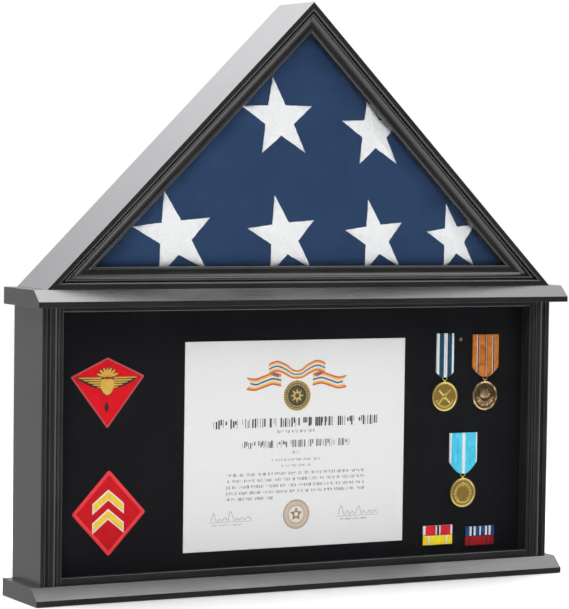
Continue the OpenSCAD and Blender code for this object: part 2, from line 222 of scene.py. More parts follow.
def run(section, origin, along, inward, back, cuts):
    """Sweeps a section of (inward, back) points along a line, between two cutting planes."""
    rings = []
    for at, normal in cuts:
        starts = [origin + inward * s + back * d for s, d in section]
        rings.append([p + along * ((at - p).dot(normal) / along.dot(normal)) for p in starts])
    return loft(rings)


def inset(outline, distance):
    """Moves every side of a closed outline of (x, z) points inward."""
    corners = [Vector(p) for p in outline]
    count = len(corners)
    turn = sum(corners[i - 1].x * corners[i].y - corners[i].x * corners[i - 1].y for i in range(count))
    side = 1 if turn > 0 else -1
    moved = []
    for i in range(count):
        before = (corners[i] - corners[i - 1]).normalized()
        after = (corners[(i + 1) % count] - corners[i]).normalized()
        first = Vector((-before.y, before.x)) * side
        second = Vector((-after.y, after.x)) * side
        reach = max(1 + first.dot(second), 0.35)
        moved.append(corners[i] + (first + second) * (distance / reach))
    return moved


def at_depth(outline, y):
    """An outline of (x, z) points put at a depth."""
    return [Vector((p[0], y, p[1])) for p in outline]


def plate(outline, front, back, ease=0.3):
    """A flat plate with rounded front and back edges, from an outline of (x, z) points."""
    small = ease * 0.3
    steps = [(ease, 0), (small, small), (0, ease)]
    rings = [at_depth(inset(outline, s), front + d) for s, d in steps]
    rings += [at_depth(inset(outline, s), back - d) for s, d in reversed(steps)]
    return loft(rings)


def pillow(outline, back, height, ease):
    """A raised shape with a softly rounded edge, standing towards the front from depth back."""
    steps = [(0, 0), (0, height * 0.45), (ease * 0.3, height * 0.8), (ease, height)]
    return loft([at_depth(inset(outline, s), back - d) for s, d in steps])


def rectangle(x0, x1, z0, z1):
    """Corners of an upright rectangle."""
    return [(x0, z0), (x1, z0), (x1, z1), (x0, z1)]


def outline_of(node):
    """The upright rectangle of a node's box."""
    low, high = box(node)
    return rectangle(low.x, high.x, low.z, high.z)


def middle_and_half(low, high):
    """Middle and half width of a box, along X."""
    return (low.x + high.x) / 2, (high.x - low.x) / 2


def smooth_line(points, steps):
    """A Catmull-Rom line through the points, with steps parts between each two."""
    line = []
    ends = [points[0]] + list(points) + [points[-1]]
    for i in range(len(points) - 1):
        a, b, c, d = (Vector(p) for p in ends[i:i + 4])
        for k in range(steps):
            t = k / steps
            line.append(0.5 * (2 * b + (c - a) * t + (2 * a - 5 * b + 4 * c - d) * t ** 2
                               + (3 * b - a - 3 * c + d) * t ** 3))
    return line + [Vector(points[-1])]


def ring_lathe(profile, centre, axis, side, steps=32):
    """Turns a profile of (radius, along) points about an axis. A radius may be a function of the angle."""
    other = axis.cross(side)
    rings = []
    for radius, along in profile:
        ring = []
        for a in turns(steps):
            reach = radius(a) if callable(radius) else radius
            ring.append(centre + axis * along + (side * math.cos(a) + other * math.sin(a)) * reach)
        rings.append(ring)
    return loft(rings)


# ---- Materials ------------------------------------------------------------------------------

class Surface:
    """A material around one Principled shader, with short calls to add nodes."""

    def __init__(self, name, colour, roughness, **sockets):
        self.material = bpy.data.materials.new(name)
        self.material.use_nodes = True
        self.tree = self.material.node_tree
        self.shader = self.tree.nodes["Principled BSDF"]
        self.shader.inputs["Base Color"].default_value = (*colour, 1)
        self.shader.inputs["Roughness"].default_value = roughness
        for socket, value in sockets.items():
            self.shader.inputs[socket.replace("_", " ")].default_value = value

    def node(self, kind, links=(), **settings):
        """Adds a node. links maps its input names or numbers to values or to other outputs."""
        made = self.tree.nodes.new("ShaderNode" + kind)
        for key, value in settings.items():
            setattr(made, key, value)
        for key, value in dict(links).items():
            if isinstance(value, bpy.types.NodeSocket):
                self.tree.links.new(value, made.inputs[key])
            else:
                made.inputs[key].default_value = value
        return made

    def place(self, scale=(1, 1, 1), turn=0.0):
        """Position on the object in metres, turned about Y and stretched by scale."""
        where = self.node("TexCoord").outputs["Object"]
        turned = self.node("Mapping", {"Vector": where, "Rotation": (0, turn, 0)})
        return self.node("Mapping", {"Vector": turned.outputs[0], "Scale": scale}).outputs[0]

    def noise(self, where, size, detail=3.0, distortion=0.0):
        """Soft random values whose blots are about size metres across."""
        links = {"Vector": where, "Scale": 1 / size, "Detail": detail, "Distortion": distortion}
        return self.node("TexNoise", links).outputs["Fac"]

    def bands(self, where, period, direction, distortion):
        """Waves that repeat every period metres along one direction."""
        links = {"Vector": where, "Scale": math.pi / (10 * period), "Distortion": distortion}
        return self.node("TexWave", links, bands_direction=direction).outputs["Fac"]

    def maths(self, operation, a, b):
        """Adds or multiplies two values, as the operation says."""
        return self.node("Math", {0: a, 1: b}, operation=operation).outputs[0]

    def blend(self, factor, low, high):
        """Mixes two colours by a factor."""
        mix = self.node("Mix", {0: factor}, data_type="RGBA")
        for socket, colour in ((6, low), (7, high)):
            if isinstance(colour, bpy.types.NodeSocket):
                self.tree.links.new(colour, mix.inputs[socket])
            else:
                mix.inputs[socket].default_value = (*colour, 1)
        return mix.outputs[2]

    def spread(self, value, low, high, start=0.0, end=1.0):
        """Maps a value between start and end to low and high."""
        links = {"Value": value, 1: start, 2: end, 3: low, 4: high}
        return self.node("MapRange", links).outputs[0]

    def colour(self, socket):
        """Takes the surface's colour from a socket."""
        self.tree.links.new(socket, self.shader.inputs["Base Color"])

    def tint(self, value, start, end, low, high):
        """Colours the surface from low to high while a value runs from start to end."""
        self.colour(self.blend(self.spread(value, 0, 1, start, end), low, high))

    def rough(self, value, low, high, start=0.3, end=0.7):
        """Takes the roughness between low and high from a value."""
        self.tree.links.new(self.spread(value, low, high, start, end), self.shader.inputs["Roughness"])

    def relief(self, height, depth, strength=1.0):
        """Adds bumps of the given depth in metres."""
        links = {"Height": height, "Distance": depth, "Strength": strength}
        if self.shader.inputs["Normal"].is_linked:
            links["Normal"] = self.shader.inputs["Normal"].links[0].from_socket
        self.tree.links.new(self.node("Bump", links).outputs[0], self.shader.inputs["Normal"])


def painted(name, turn, dark=(0.015, 0.0147, 0.0154), light=(0.023, 0.0225, 0.0234), shine=0.18):
    """Satin black paint on smooth wood, its faint grain turned to run along the board."""
    s = Surface(name, dark, shine, Specular_IOR_Level=0.85)
    grain = s.noise(s.place((22, 700, 700), turn), 1.0, 4.0, 0.6)
    blots = s.noise(s.place(), 0.07, 2.0)
    peel = s.noise(s.place(), 0.0016, 1.0)
    s.tint(s.maths("ADD", grain, blots), 0.7, 1.3, dark, light)
    s.rough(s.maths("ADD", blots, grain), shine - 0.04, shine + 0.07, 0.6, 1.4)
    s.relief(grain, 0.00002, 0.5)
    s.relief(peel, 0.000012, 0.5)
    return s.material


def hardboard(name):
    """Bare brown hardboard: pressed fibres with darker flecks."""
    s = Surface(name, (0.16, 0.1, 0.06), 0.62)
    fibres = s.noise(s.place((1900, 1900, 420), 0.5), 1.0, 5.0, 1.5)
    flecks = s.noise(s.place((420, 420, 1500), 0.3), 1.0, 3.0, 1.0)
    tone = s.blend(s.spread(fibres, 0, 1, 0.35, 0.7), (0.105, 0.062, 0.036), (0.235, 0.155, 0.096))
    s.colour(s.blend(s.spread(flecks, 0, 0.75, 0.6, 0.72), tone, (0.05, 0.03, 0.018)))
    s.rough(fibres, 0.5, 0.72)
    s.relief(fibres, 0.00012, 0.6)
    return s.material


def felted(name):
    """Short napped black felt."""
    s = Surface(name, (0.006, 0.0062, 0.0075), 0.95, Sheen_Weight=0.03, Sheen_Roughness=0.4,
                Specular_IOR_Level=0.2)
    nap = s.noise(s.place((1, 1, 0.4)), 0.0007, 4.0, 1.0)
    clouds = s.noise(s.place(), 0.05, 3.0)
    tone = s.blend(s.spread(nap, 0, 1, 0.35, 0.7), (0.0032, 0.0034, 0.0046), (0.0072, 0.0076, 0.0098))
    s.colour(s.blend(s.spread(clouds, 0, 0.5, 0.4, 0.7), tone, (0.008, 0.0085, 0.0108)))
    s.relief(nap, 0.00025, 0.7)
    return s.material


def foam(name, low=(0.009, 0.009, 0.01), high=(0.017, 0.017, 0.019)):
    """Matt black foam board with a fine open skin."""
    s = Surface(name, low, 0.8)
    cells = s.noise(s.place(), 0.0006, 2.0)
    s.colour(s.blend(cells, low, high))
    s.relief(cells, 0.00008, 0.6)
    return s.material


def clear_glass(name):
    """Thin float glass: what is behind shows unbent, and each front face mirrors a little."""
    s = Surface(name, (0.9, 0.95, 0.94), 0.02)
    tree = s.tree
    mirror = s.node("BsdfGlossy", {"Roughness": 0.015, "Color": (0.93, 0.94, 0.94, 1)})
    through = s.node("BsdfTransparent", {"Color": (0.99, 0.994, 0.992, 1)})
    share = s.maths("MULTIPLY", s.node("Fresnel", {"IOR": 1.45}).outputs[0], 0.9)
    front = s.maths("SUBTRACT", 1.0, s.node("NewGeometry").outputs["Backfacing"])
    mix = s.node("MixShader", {0: s.maths("MULTIPLY", share, front)})
    tree.links.new(through.outputs[0], mix.inputs[1])
    tree.links.new(mirror.outputs[0], mix.inputs[2])
    output = next(n for n in tree.nodes if n.type == "OUTPUT_MATERIAL")
    tree.links.new(mix.outputs[0], output.inputs["Surface"])
    tree.nodes.remove(s.shader)
    return s.material


def woven_flag(name):
    """Navy cotton of a flag's canton: a plain weave, slightly mottled, with a soft sheen."""
    s = Surface(name, (0.018, 0.048, 0.125), 0.78, Sheen_Weight=0.22, Sheen_Roughness=0.45,
                Specular_IOR_Level=0.25)
    s.shader.inputs["Sheen Tint"].default_value = (0.35, 0.5, 0.8, 1)
    where = s.place()
    warp = s.bands(where, 0.00055, "X", 0.3)
    weft = s.bands(where, 0.00055, "Z", 0.3)
    slubs = s.noise(s.place((60, 1200, 1200)), 1.0, 2.0)
    clouds = s.noise(where, 0.045, 4.0, 0.4)
    tone = s.blend(s.spread(clouds, 0, 1, 0.3, 0.7), (0.0125, 0.038, 0.100), (0.019, 0.051, 0.128))
    s.colour(s.blend(s.spread(slubs, 0, 0.35, 0.5, 0.75), tone, (0.027, 0.065, 0.150)))
    s.relief(s.maths("MULTIPLY", warp, weft), 0.00012, 0.5)
    s.relief(s.noise(where, 0.012, 3.0, 0.5), 0.0006, 0.35)
    return s.material


def thread(name, low, high, period, shine, depth=0.00016):
    """Satin stitches: fine threads that lie side by side along the shape's own direction."""
    s = Surface(name, low, shine, Sheen_Weight=0.08, Specular_IOR_Level=0.3)
    along = s.node("UVMap", uv_map="along").outputs[0]
    rows = s.bands(along, period, "X", 0.6)
    stretched = s.node("Mapping", {"Vector": along, "Scale": (1, 0.22, 1)}).outputs[0]
    loose = s.noise(stretched, period * 2.2, 3.0)
    s.tint(s.maths("ADD", rows, loose), 0.45, 1.2, low, high)
    s.rough(loose, shine, shine + 0.18)
    s.relief(rows, depth, 0.7)
    return s.material


def twill(name, low, high):
    """Patch cloth with fine slanting ribs."""
    s = Surface(name, low, 0.8, Sheen_Weight=0.04, Specular_IOR_Level=0.18)
    ribs = s.bands(s.place((1, 1, 1), math.radians(58)), 0.0009, "X", 0.4)
    clouds = s.noise(s.place(), 0.012, 3.0)
    s.tint(s.maths("ADD", ribs, clouds), 0.4, 1.4, low, high)
    s.relief(ribs, 0.00018, 0.7)
    return s.material


def silk(name, low, high):
    """Watered silk ribbon with fine cross ribs."""
    shine = 0.5
    s = Surface("silk_" + name, low, shine, Sheen_Weight=0.05, Specular_IOR_Level=0.2)
    ribs = s.bands(s.place(), 0.0009, "Z", 0.2)
    ends = s.noise(s.place((2600, 2600, 90)), 1.0, 2.0)
    water = s.maths("MULTIPLY", s.noise(s.place((1, 1, 0.6)), 0.007, 3.0, 1.5), 2.0)
    total = s.maths("ADD", s.maths("ADD", s.maths("MULTIPLY", ribs, 0.5), ends), water)
    s.tint(total, 1.15, 2.35, low, high)
    s.rough(ends, shine, shine + 0.2)
    s.relief(ribs, 0.0001, 0.6)
    return s.material


def paper(name, low, high):
    """Smooth card with a faint fibre tooth."""
    s = Surface(name, low, 0.55, Specular_IOR_Level=0.35)
    fibres = s.noise(s.place((1, 1, 0.5)), 0.0011, 4.0, 0.8)
    s.tint(fibres, 0.3, 0.7, low, high)
    s.relief(fibres, 0.00002, 0.5)
    return s.material


def ink(name, low, high, shine=0.5):
    """Printed colour with slightly uneven cover."""
    s = Surface(name, low, shine)
    s.tint(s.noise(s.place(), 0.0009, 3.0), 0.35, 0.7, low, high)
    return s.material


def worked_metal(name, dark, bright, shine):
    """Struck metal with dark patina in its hollows: u of the pair says how high a point stands."""
    s = Surface(name, bright, shine, Metallic=1.0)
    height = s.node("SeparateXYZ", {0: s.node("UVMap", uv_map="along").outputs[0]}).outputs["X"]
    grime = s.noise(s.place(), 0.0025, 3.0)
    worn = s.maths("ADD", height, s.spread(grime, -0.06, 0.06, 0.3, 0.7))
    s.tint(worn, 0.0, 0.6, dark, bright)
    s.rough(worn, shine + 0.16, shine, 0.1, 0.8)
    s.relief(s.noise(s.place(), 0.0006, 3.0), 0.00003, 0.4)
    return s.material


def sheet_metal(name, low, high):
    """Plated or pressed metal with fine scratches and light tarnish."""
    shine = 0.32
    s = Surface(name, high, shine, Metallic=1.0)
    scratches = s.noise(s.place((120, 900, 2600), 0.4), 1.0, 3.0)
    tarnish = s.noise(s.place(), 0.004, 4.0)
    s.tint(tarnish, 0.35, 0.7, low, high)
    s.rough(tarnish, shine + 0.12, shine)
    s.relief(scratches, 0.00002, 0.4)
    return s.material


GRAIN_X = painted("paint_along_x", 0.0)
GRAIN_Z = painted("paint_along_z", math.radians(90))
GRAIN_LEFT = painted("paint_along_left_slope", math.radians(45))
GRAIN_RIGHT = painted("paint_along_right_slope", math.radians(-45))
# Paler paint on the eased edges: partly edge wear, partly a painted highlight for the light lines that
# rounded edges catch.
EDGE_WEAR_AND_HIGHLIGHT = painted("paint_on_edges_worn_and_highlit", 0.0, (0.018, 0.0175, 0.0178), (0.034, 0.033, 0.033), 0.2)
HARDBOARD = hardboard("hardboard")
FELT = felted("black_felt")
FOAM = foam("foam_board")
# Paler foam on the strips' rounded front edges: a painted highlight along them.
FOAM_EDGE_HIGHLIGHT = foam("foam_edge_painted_highlight", (0.07, 0.07, 0.071), (0.11, 0.11, 0.112))
GLASS = clear_glass("float_glass")
FLAG_CLOTH = woven_flag("flag_cloth")
STAR_THREAD = thread("star_thread", (0.66, 0.67, 0.68), (1.0, 1.0, 0.995), 0.0015, 0.42, 0.0003)
STEEL = sheet_metal("zinc_steel", (0.42, 0.42, 0.41), (0.66, 0.66, 0.64))
BRASS = sheet_metal("pressed_brass", (0.40, 0.29, 0.12), (0.66, 0.50, 0.24))


# ---- Wooden structure -----------------------------------------------------------------------

EASE = 0.35                           # rounding of cut wooden edges
BOARD_EASE = 1.0                      # and of the base's and the shelf's
REAR_RABBET = 6                       # depth of the rabbets that hold the backs, and width of the sides'
LIP_ROUND = 1.2                       # rounding of the lip rails


def wooden(name, shape, grain, node, ease=EASE, seam=None):
    """A painted piece of the case, paler along its eased edges: partly edge wear, partly a painted highlight.
    """
    return make(name, shape, [grain, EDGE_WEAR_AND_HIGHLIGHT], "case", [node], ease, seam=seam)


def stile_section():
    """Section of a fluted stile from its outer edge (0) inward, with depth from the face."""
    back = STILE_BACK - FACE_Y
    return [(0, back)] + arc(1.2, 1.2, 1.2, 1.2, 180, 270, 6) + arc(4.2, 1.6, 1.6, 1.6, 270, 360, 8) \
        + [(6.2, 3.4), (7.6, 3.4)] + arc(13, 3.2, 5, 3, 180, 360, 28) + [(18.4, 3.4), (18.9, 2.2)] \
        + arc(20.2, 2.6, 0.9, 0.9, 210, 330, 8) + [(21.4, 3.8), (22.2, 3.8), (22.6, 2.9)] \
        + arc(24.5, 3.9, 1, 1, 270, 360, 6) + [(25.5, back)]


def moulding_section():
    """Section of the triangular face moulding: fillet, groove, cove and beaded inner lip."""
    back = TRI_BACK - TRI_FACE
    return [(0, back), (0, 1)] + arc(1, 1, 1, 1, 180, 270, 5) + arc(4.6, 2.8, 2.8, 2.8, 270, 345, 10) \
        + [(7.7, 4.6), (8.4, 4.6)] + arc(9.7, 3.3, 1.3, 1.3, 180, 270, 8) \
        + arc(19.6, 2.4, 9.2, 5, 180, 90, 16) + [(20.4, 7.4)] \
        + arc(22.2, 7.2, 1.8, 1.8, 180, 360, 14) + [(24, 7.4), (24, back)]


def nosed_section(low, high):
    """Section of the base or the shelf: upright nose below, bevel above, as (y, z) points."""
    nose, bevel = 6.2, 14.3
    return [(low.y, low.z), (high.y, low.z), (high.y, high.z),
            (low.y + bevel, high.z), (low.y, low.z + nose)]


def cut(piece, cutters):
    """Cuts a shape's shells out of a piece for good."""
    tool = bpy.data.objects.new("cutter", shell_mesh("cutter", cutters))
    bpy.context.scene.collection.objects.link(tool)
    piece.modifiers.clear()
    boolean = piece.modifiers.new("cut", "BOOLEAN")
    boolean.operation = "DIFFERENCE"
    boolean.solver = "EXACT"
    boolean.object = tool
    bpy.context.view_layer.update()
    result = bpy.data.meshes.new_from_object(piece.evaluated_get(bpy.context.evaluated_depsgraph_get()))
    piece.modifiers.clear()
    piece.data = result
    bpy.data.objects.remove(tool)


SCREW_HEAD = 4.0                      # radius of a countersunk head
SCREW_SINK = 2.8                      # depth of its cone
CLEARANCE_HOLE = 2.1                  # radius of the hole below it


def sink_holes(centres, axis):
    """Countersinks for wood screws, opening against the axis."""
    holes = Shape()
    for centre in centres:
        profile = [(SCREW_HEAD + 0.1, -1), (SCREW_HEAD + 0.1, 0.35), (CLEARANCE_HOLE, SCREW_SINK),
                   (CLEARANCE_HOLE, 12)]
        holes.add(*ring_lathe(profile, centre, axis, RIGHT))
    return holes


def screw_places(node, count_x, at_z):
    """Head centres of rows of screws at a height, spread over the node's box."""
    low, high = box(node)
    ys = sorted({round(low.y + SCREW_HEAD, 1), round(high.y - SCREW_HEAD, 1)})
    reach = high.x - low.x - 2 * SCREW_HEAD
    xs = [low.x + SCREW_HEAD + reach * i / (count_x - 1) for i in range(count_x)]
    return [Vector((x, y, at_z)) for x in xs for y in ys]


def board(name, node, grain):
    """The base or the shelf."""
    low, high = box(node)
    section = nosed_section(low, high)
    rings = [[Vector((x, y, z)) for y, z in section] for x in (low.x, high.x)]
    return wooden(name, solid(*loft(rings)), grain, node, 0)


def mirrored(shape):
    """The same shape on the other side of the middle."""
    other = Shape()
    other.add([Vector((-p.x, p.y, p.z)) for p in shape.points], shape.faces, list(shape.finishes),
              corners=list(shape.pairs))
    return other


def pair(name, shape, grains, node, seam):
    """A left-hand shape and its mirror image, as two pieces."""
    for half, grain, end in zip((shape, mirrored(shape)), grains, ("left", "right")):
        wooden(name + "_" + end[0], half, grain, node + "_" + end, seam=seam)


def wooden_box():
    """Base, shelf, sides, stiles and lip rails."""
    base_screws = screw_places("base_screws", 2, BASE_LOW.z)
    shelf_screws = screw_places("case_screws", 3, SHELF_UNDER)
    for name, node, screws in (("base", "base_board", base_screws), ("shelf", "shelf_board", shelf_screws)):
        piece = board(name, node, GRAIN_X)
        cut(piece, sink_holes(screws, UP))
        soften(piece, BOARD_EASE)
        level_faces(piece)
    level = ((Vector((0, 0, BASE_TOP)), UP), (Vector((0, 0, SHELF_UNDER)), UP))
    stile = solid(*run(stile_section(), Vector((-BOX_HALF, FACE_Y, 0)), UP, RIGHT, BACK, level))
    pair("stile", stile, (GRAIN_Z, GRAIN_Z), "stile", STILE_BACK)
    thick = BOX_HALF - WALL_X
    wall = [(0, STILE_BACK), (thick, STILE_BACK), (thick, REAR_Y - REAR_RABBET),
            (thick - REAR_RABBET, REAR_Y - REAR_RABBET), (thick - REAR_RABBET, REAR_Y), (0, REAR_Y)]
    side = solid(*run(wall, Vector((-BOX_HALF, 0, 0)), UP, RIGHT, BACK, level))
    pair("side", side, (GRAIN_Z, GRAIN_Z), "side", STILE_BACK)
    for name, node, up in (("lip_rail_low", "rail_bottom", 1), ("lip_rail_high", "rail_top", -1)):
        low, high = box(node)
        tall = high.z - low.z
        foot = low.z if up > 0 else high.z
        section = [(high.y, 0), (low.y, 0)] \
            + arc(low.y + LIP_ROUND, tall - LIP_ROUND, LIP_ROUND, LIP_ROUND, 180, 90, 8) + [(high.y, tall)]
        rings = [[Vector((x, y, foot + up * z)) for y, z in section] for x in (low.x, high.x)]
        wooden(name, solid(*loft(rings)), GRAIN_X, node)


def triangle(s):
    """Corners of the triangular case's outline moved inward by s."""
    return [Vector((s * CORNER - TRI_HALF, SHELF_TOP + s)), Vector((TRI_HALF - s * CORNER, SHELF_TOP + s)),
            Vector((0, SHELF_TOP + TRI_HALF - s * math.sqrt(2)))]


BOARD_T = 16                          # thickness of the triangular case's boards
TRI_RABBET = 5                        # width of their rabbet at the rear
FIT = 0.1                             # gap between the floor board's ends and the sloping boards


def triangular_case():
    """Mitred face moulding, two sloping boards and the floor board."""
    foot_left = Vector((-TRI_HALF, 0, SHELF_TOP))
    slope = (RIGHT + UP) * DIAGONAL
    into = (RIGHT - UP) * DIAGONAL
    miter = Vector((math.sin(math.radians(22.5)), 0, -math.cos(math.radians(22.5))))
    face = Vector((0, TRI_FACE, 0))
    section = moulding_section()
    side = solid(*run(section, foot_left + face, slope, into, BACK, ((foot_left, miter), (Vector(), RIGHT))))
    pair("moulding", side, (GRAIN_LEFT, GRAIN_RIGHT), "face", TRI_BACK)
    other_miter = Vector((-miter.x, 0, miter.z))
    foot_right = Vector((TRI_HALF, 0, SHELF_TOP))
    ends = ((foot_left, miter), (foot_right, other_miter))
    low = solid(*run(section, foot_left + face, RIGHT, UP, BACK, ends))
    wooden("moulding_low", low, GRAIN_X, "face_bottom", seam=TRI_BACK)
    rabbet_y = REAR_Y - REAR_RABBET
    plank = [(0, TRI_BACK), (BOARD_T, TRI_BACK), (BOARD_T, rabbet_y), (BOARD_T - TRI_RABBET, rabbet_y),
             (BOARD_T - TRI_RABBET, REAR_Y), (0, REAR_Y)]
    rafter = solid(*run(plank, foot_left, slope, into, BACK, ((foot_left, UP), (Vector(), RIGHT))))
    pair("rafter", rafter, (GRAIN_LEFT, GRAIN_RIGHT), "rafter", TRI_BACK)
    inner_left = foot_left + RIGHT * BOARD_T * math.sqrt(2)
    inner_right = foot_right - RIGHT * BOARD_T * math.sqrt(2)
    floor = solid(*run(plank, foot_left, RIGHT, UP, BACK, ((inner_left, into), (inner_right, -slope))))
    for side in (-1, 1):
        foot = TRI_HALF - (BOARD_T - TRI_RABBET) * math.sqrt(2)
        head = TRI_HALF - BOARD_T * math.sqrt(2)
        tall = BOARD_T - TRI_RABBET
        corner = [(side * (foot - FIT), SHELF_TOP), (side * (foot - tall - FIT), SHELF_TOP + tall),
                  (side * (head - tall), SHELF_TOP + tall), (side * head, SHELF_TOP)]
        floor.add(*plate([Vector(p) for p in corner[::side]], rabbet_y, REAR_Y, 0.2))
    wooden("floor_board", floor, GRAIN_X, "case_floor", seam=TRI_BACK)


# ---- Glass and what holds it ----------------------------------------------------------------

def glazing():
    """Both panes, the foam strips behind the lower one and the steel points behind the upper one."""
    for name, node, outline in (("display_pane", "display_glass", outline_of("display_glass")),
                                ("case_pane", "case_glass", triangle(box("case_glass")[0].z - SHELF_TOP))):
        low, high = box(node)
        make(name, solid(*plate(outline, low.y, high.y, 0.25)), [GLASS], "case", [node])
    for side in ("left", "right", "top", "bottom"):
        node = "spacer_" + side
        low, high = box(node)
        points, faces = plate(outline_of(node), low.y, high.y, 0.9)
        # The strips' rounded front edges take the paler foam, a painted highlight.
        highlit_edge_faces = 8                 # the first faces are the front's rounded edges
        strip = solid(points, faces, [1] * highlit_edge_faces + [0] * (len(faces) - highlit_edge_faces))
        make("strip_" + side, strip, [FOAM, FOAM_EDGE_HIGHLIGHT], "case", [node])
    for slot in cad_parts["glazing_points"].material_slots:
        slot.material = STEEL


# ---- Folded flag ----------------------------------------------------------------------------

FLAG_LOW, FLAG_HIGH = box("folded_flag")
FLAG_INSET = FLAG_LOW.z - SHELF_TOP
FLAG_FRONT = FLAG_LOW.y + 0.9         # the mean front, with room for the stars and the crown
FLAG_ROLL = 11                        # radius of the rolled edges
INRADIUS = TRI_HALF / CORNER
SIDE_STEPS = 60                       # mesh steps along a side of the flag
CORNER_STEPS = 8                      # and round each of its corners
FLAG_CORNER = 6                       # radius of the bundle's corners at its sides
LAYERS = 7                            # folds that show at the sides
LAYER_STEPS = 6                       # mesh steps across each
REAR_ROUND = 4.2                      # radius of the rear edges


def inset_at(x, z):
    """How far a point lies inside the case's outline."""
    up = z - SHELF_TOP
    return min(up, (TRI_HALF - abs(x) - up) * DIAGONAL)


def flag_front(x, z):
    """Depth of the flag's front at a point: rolled edges, a slight crown, soft folds and creases."""
    s = inset_at(x, z) - FLAG_INSET
    roll = 0.0
    if s < FLAG_ROLL:
        share = min(1.0, (FLAG_ROLL - s) / FLAG_ROLL)
        roll = FLAG_ROLL * (1 - math.sqrt(max(0.0, 1 - share * share)))
    crown = -0.5 * math.sin(math.pi / 2 * min(1.0, max(0.0, s) / 60))
    spot = Vector((x / 46, z / 46, 3.1))
    folds = 0.55 * noise.noise(spot) + 0.25 * noise.noise(spot * 2.7)
    slant = (x * 0.8 + z) / 34 + 1.2 * noise.noise(Vector((x / 70, z / 70, 9.0)))
    crease = 0.22 * max(0.0, math.sin(slant)) ** 6
    return FLAG_FRONT + roll + crown + folds * min(1.0, max(0.0, s) / 20) - crease


def rounded_triangle(s, radius):
    """Points round the case's outline moved inward by s, with rounded corners."""
    corners = triangle(s)
    points = []
    for i in range(3):
        here, after, before = corners[i], corners[(i + 1) % 3], corners[i - 1]
        to_before = (before - here).normalized()
        to_after = (after - here).normalized()
        half = math.acos(max(-1, min(1, to_before.dot(to_after)))) / 2
        reach = radius / math.tan(half)
        middle = here + (to_before + to_after).normalized() * (radius / math.sin(half))
        start = here + to_before * reach - middle
        end = here + to_after * reach - middle
        turn = math.atan2(start.x * end.y - start.y * end.x, start.dot(end))
        for k in range(CORNER_STEPS):
            a = turn * k / CORNER_STEPS
            points.append(middle + Vector((start.x * math.cos(a) - start.y * math.sin(a),
                                           start.x * math.sin(a) + start.y * math.cos(a))))
        next_half = math.radians(22.5 if i != 1 else 45)
        far = after - to_after * (radius / math.tan(next_half))
        near = here + to_after * reach
        points += [near.lerp(far, k / SIDE_STEPS) for k in range(SIDE_STEPS)]
    return points


def face_ring(s, depth_at):
    """A ring of the bundle's front or rear, s inside the case's outline, at the cloth's depth."""
    ring = rounded_triangle(s, min(7, (INRADIUS - s) * 0.35))
    return [Vector((p.x, depth_at(p.x, p.y), p.y)) for p in ring]


def side_ring(s, y):
    """A ring of the bundle's sides, s inside the case's outline, at a depth."""
    return at_depth(rounded_triangle(s, FLAG_CORNER), y)


def folded_flag():
    """A thick triangular bundle: rolled edges, stacked layers at its sides, a tucked flap behind."""
    centre = INRADIUS - 1.5
    rings = [face_ring(s, flag_front) for s in (centre, 120, 108, 96, 84, 72, 62, 54, 47, 41, 36, 32)]
    for k in range(9):
        angle = math.radians(10 + 80 * k / 8)
        depth = FLAG_ROLL * (1 - math.cos(angle))
        rings.append(side_ring(FLAG_INSET + FLAG_ROLL * (1 - math.sin(angle)), FLAG_FRONT + depth))
    side_front = FLAG_FRONT + FLAG_ROLL
    side_back = FLAG_HIGH.y - 5
    for k in range(1, LAYERS * LAYER_STEPS + 1):
        share = k / (LAYERS * LAYER_STEPS)
        bulge = abs(math.sin(math.pi * share * LAYERS)) ** 0.5
        rings.append(side_ring(FLAG_INSET + 0.9 * (1 - bulge), side_front + (side_back - side_front) * share))
    for k in range(1, 7):
        angle = math.radians(90 * k / 6)
        inward = REAR_ROUND * math.sin(angle / 2) ** 2 * 2
        rings.append(side_ring(FLAG_INSET + inward, side_back + REAR_ROUND * math.sin(angle)))
    rings += [face_ring(s, flag_rear) for s in (24, 30, 38, 48, 60, 74, 90, 106, 120, centre)]
    flag = make("flag_bundle", solid(*loft(rings)), [FLAG_CLOTH], "case", ["folded_flag"],
                sharp=50)
    tuck = solid(*loft([at_depth(inset(tuck_outline(), s), FLAG_HIGH.y - 1.4 + d)
                        for s, d in ((0, 0), (0, 0.8), (0.5, 1.2), (1.4, 1.3))]))
    make("flag_tuck", tuck, [FLAG_CLOTH], "case", sharp=50)


def flag_rear(x, z):
    """Depth of the flag's rear: flat with soft folds."""
    return FLAG_HIGH.y - 0.9 + 0.5 * noise.noise(Vector((x / 50, z / 50, 40.0)))


def tuck_outline():
    """The last fold, tucked in across one corner of the rear."""
    left, right, top = triangle(FLAG_INSET + 12)
    return [left.lerp(right, 0.36), right, top.lerp(right, 0.34)]


# Rows of stars on the flag: x, z and radius of the first star, the step to the next, the rise for each
# step, the turn to the left in degrees, and the number of stars.
STAR_ROWS = [(-34, 522, 46, 121, -13, 1, 2), (-160, 392, 50, 134, -1, 6, 4)]
# Along a row each star stands nearer to the last, and is smaller and narrower, as the pulled cloth lies.
STAR_R_STEP = 3
STAR_CROWDING = 8
STAR_NARROWING = 0.05
# How far the cloth's pull moves a point to the left for each unit of height.
STAR_SLANT = 0.16
STAR_WAIST = 0.40                     # inner radius of a star over its outer one
STAR_STEPS = 12                       # mesh steps along each edge of a star
STAR_RINGS = 14                       # and from its middle out to the edge
STAR_CROWN = 1.2                      # height of a star's middle off the flag
STAR_ROOT = 1.2                       # how deep its edge goes into the flag
STAR_FOOT = SHELF_TOP + FLAG_INSET + 1.2   # the lowest that a star's point may stand


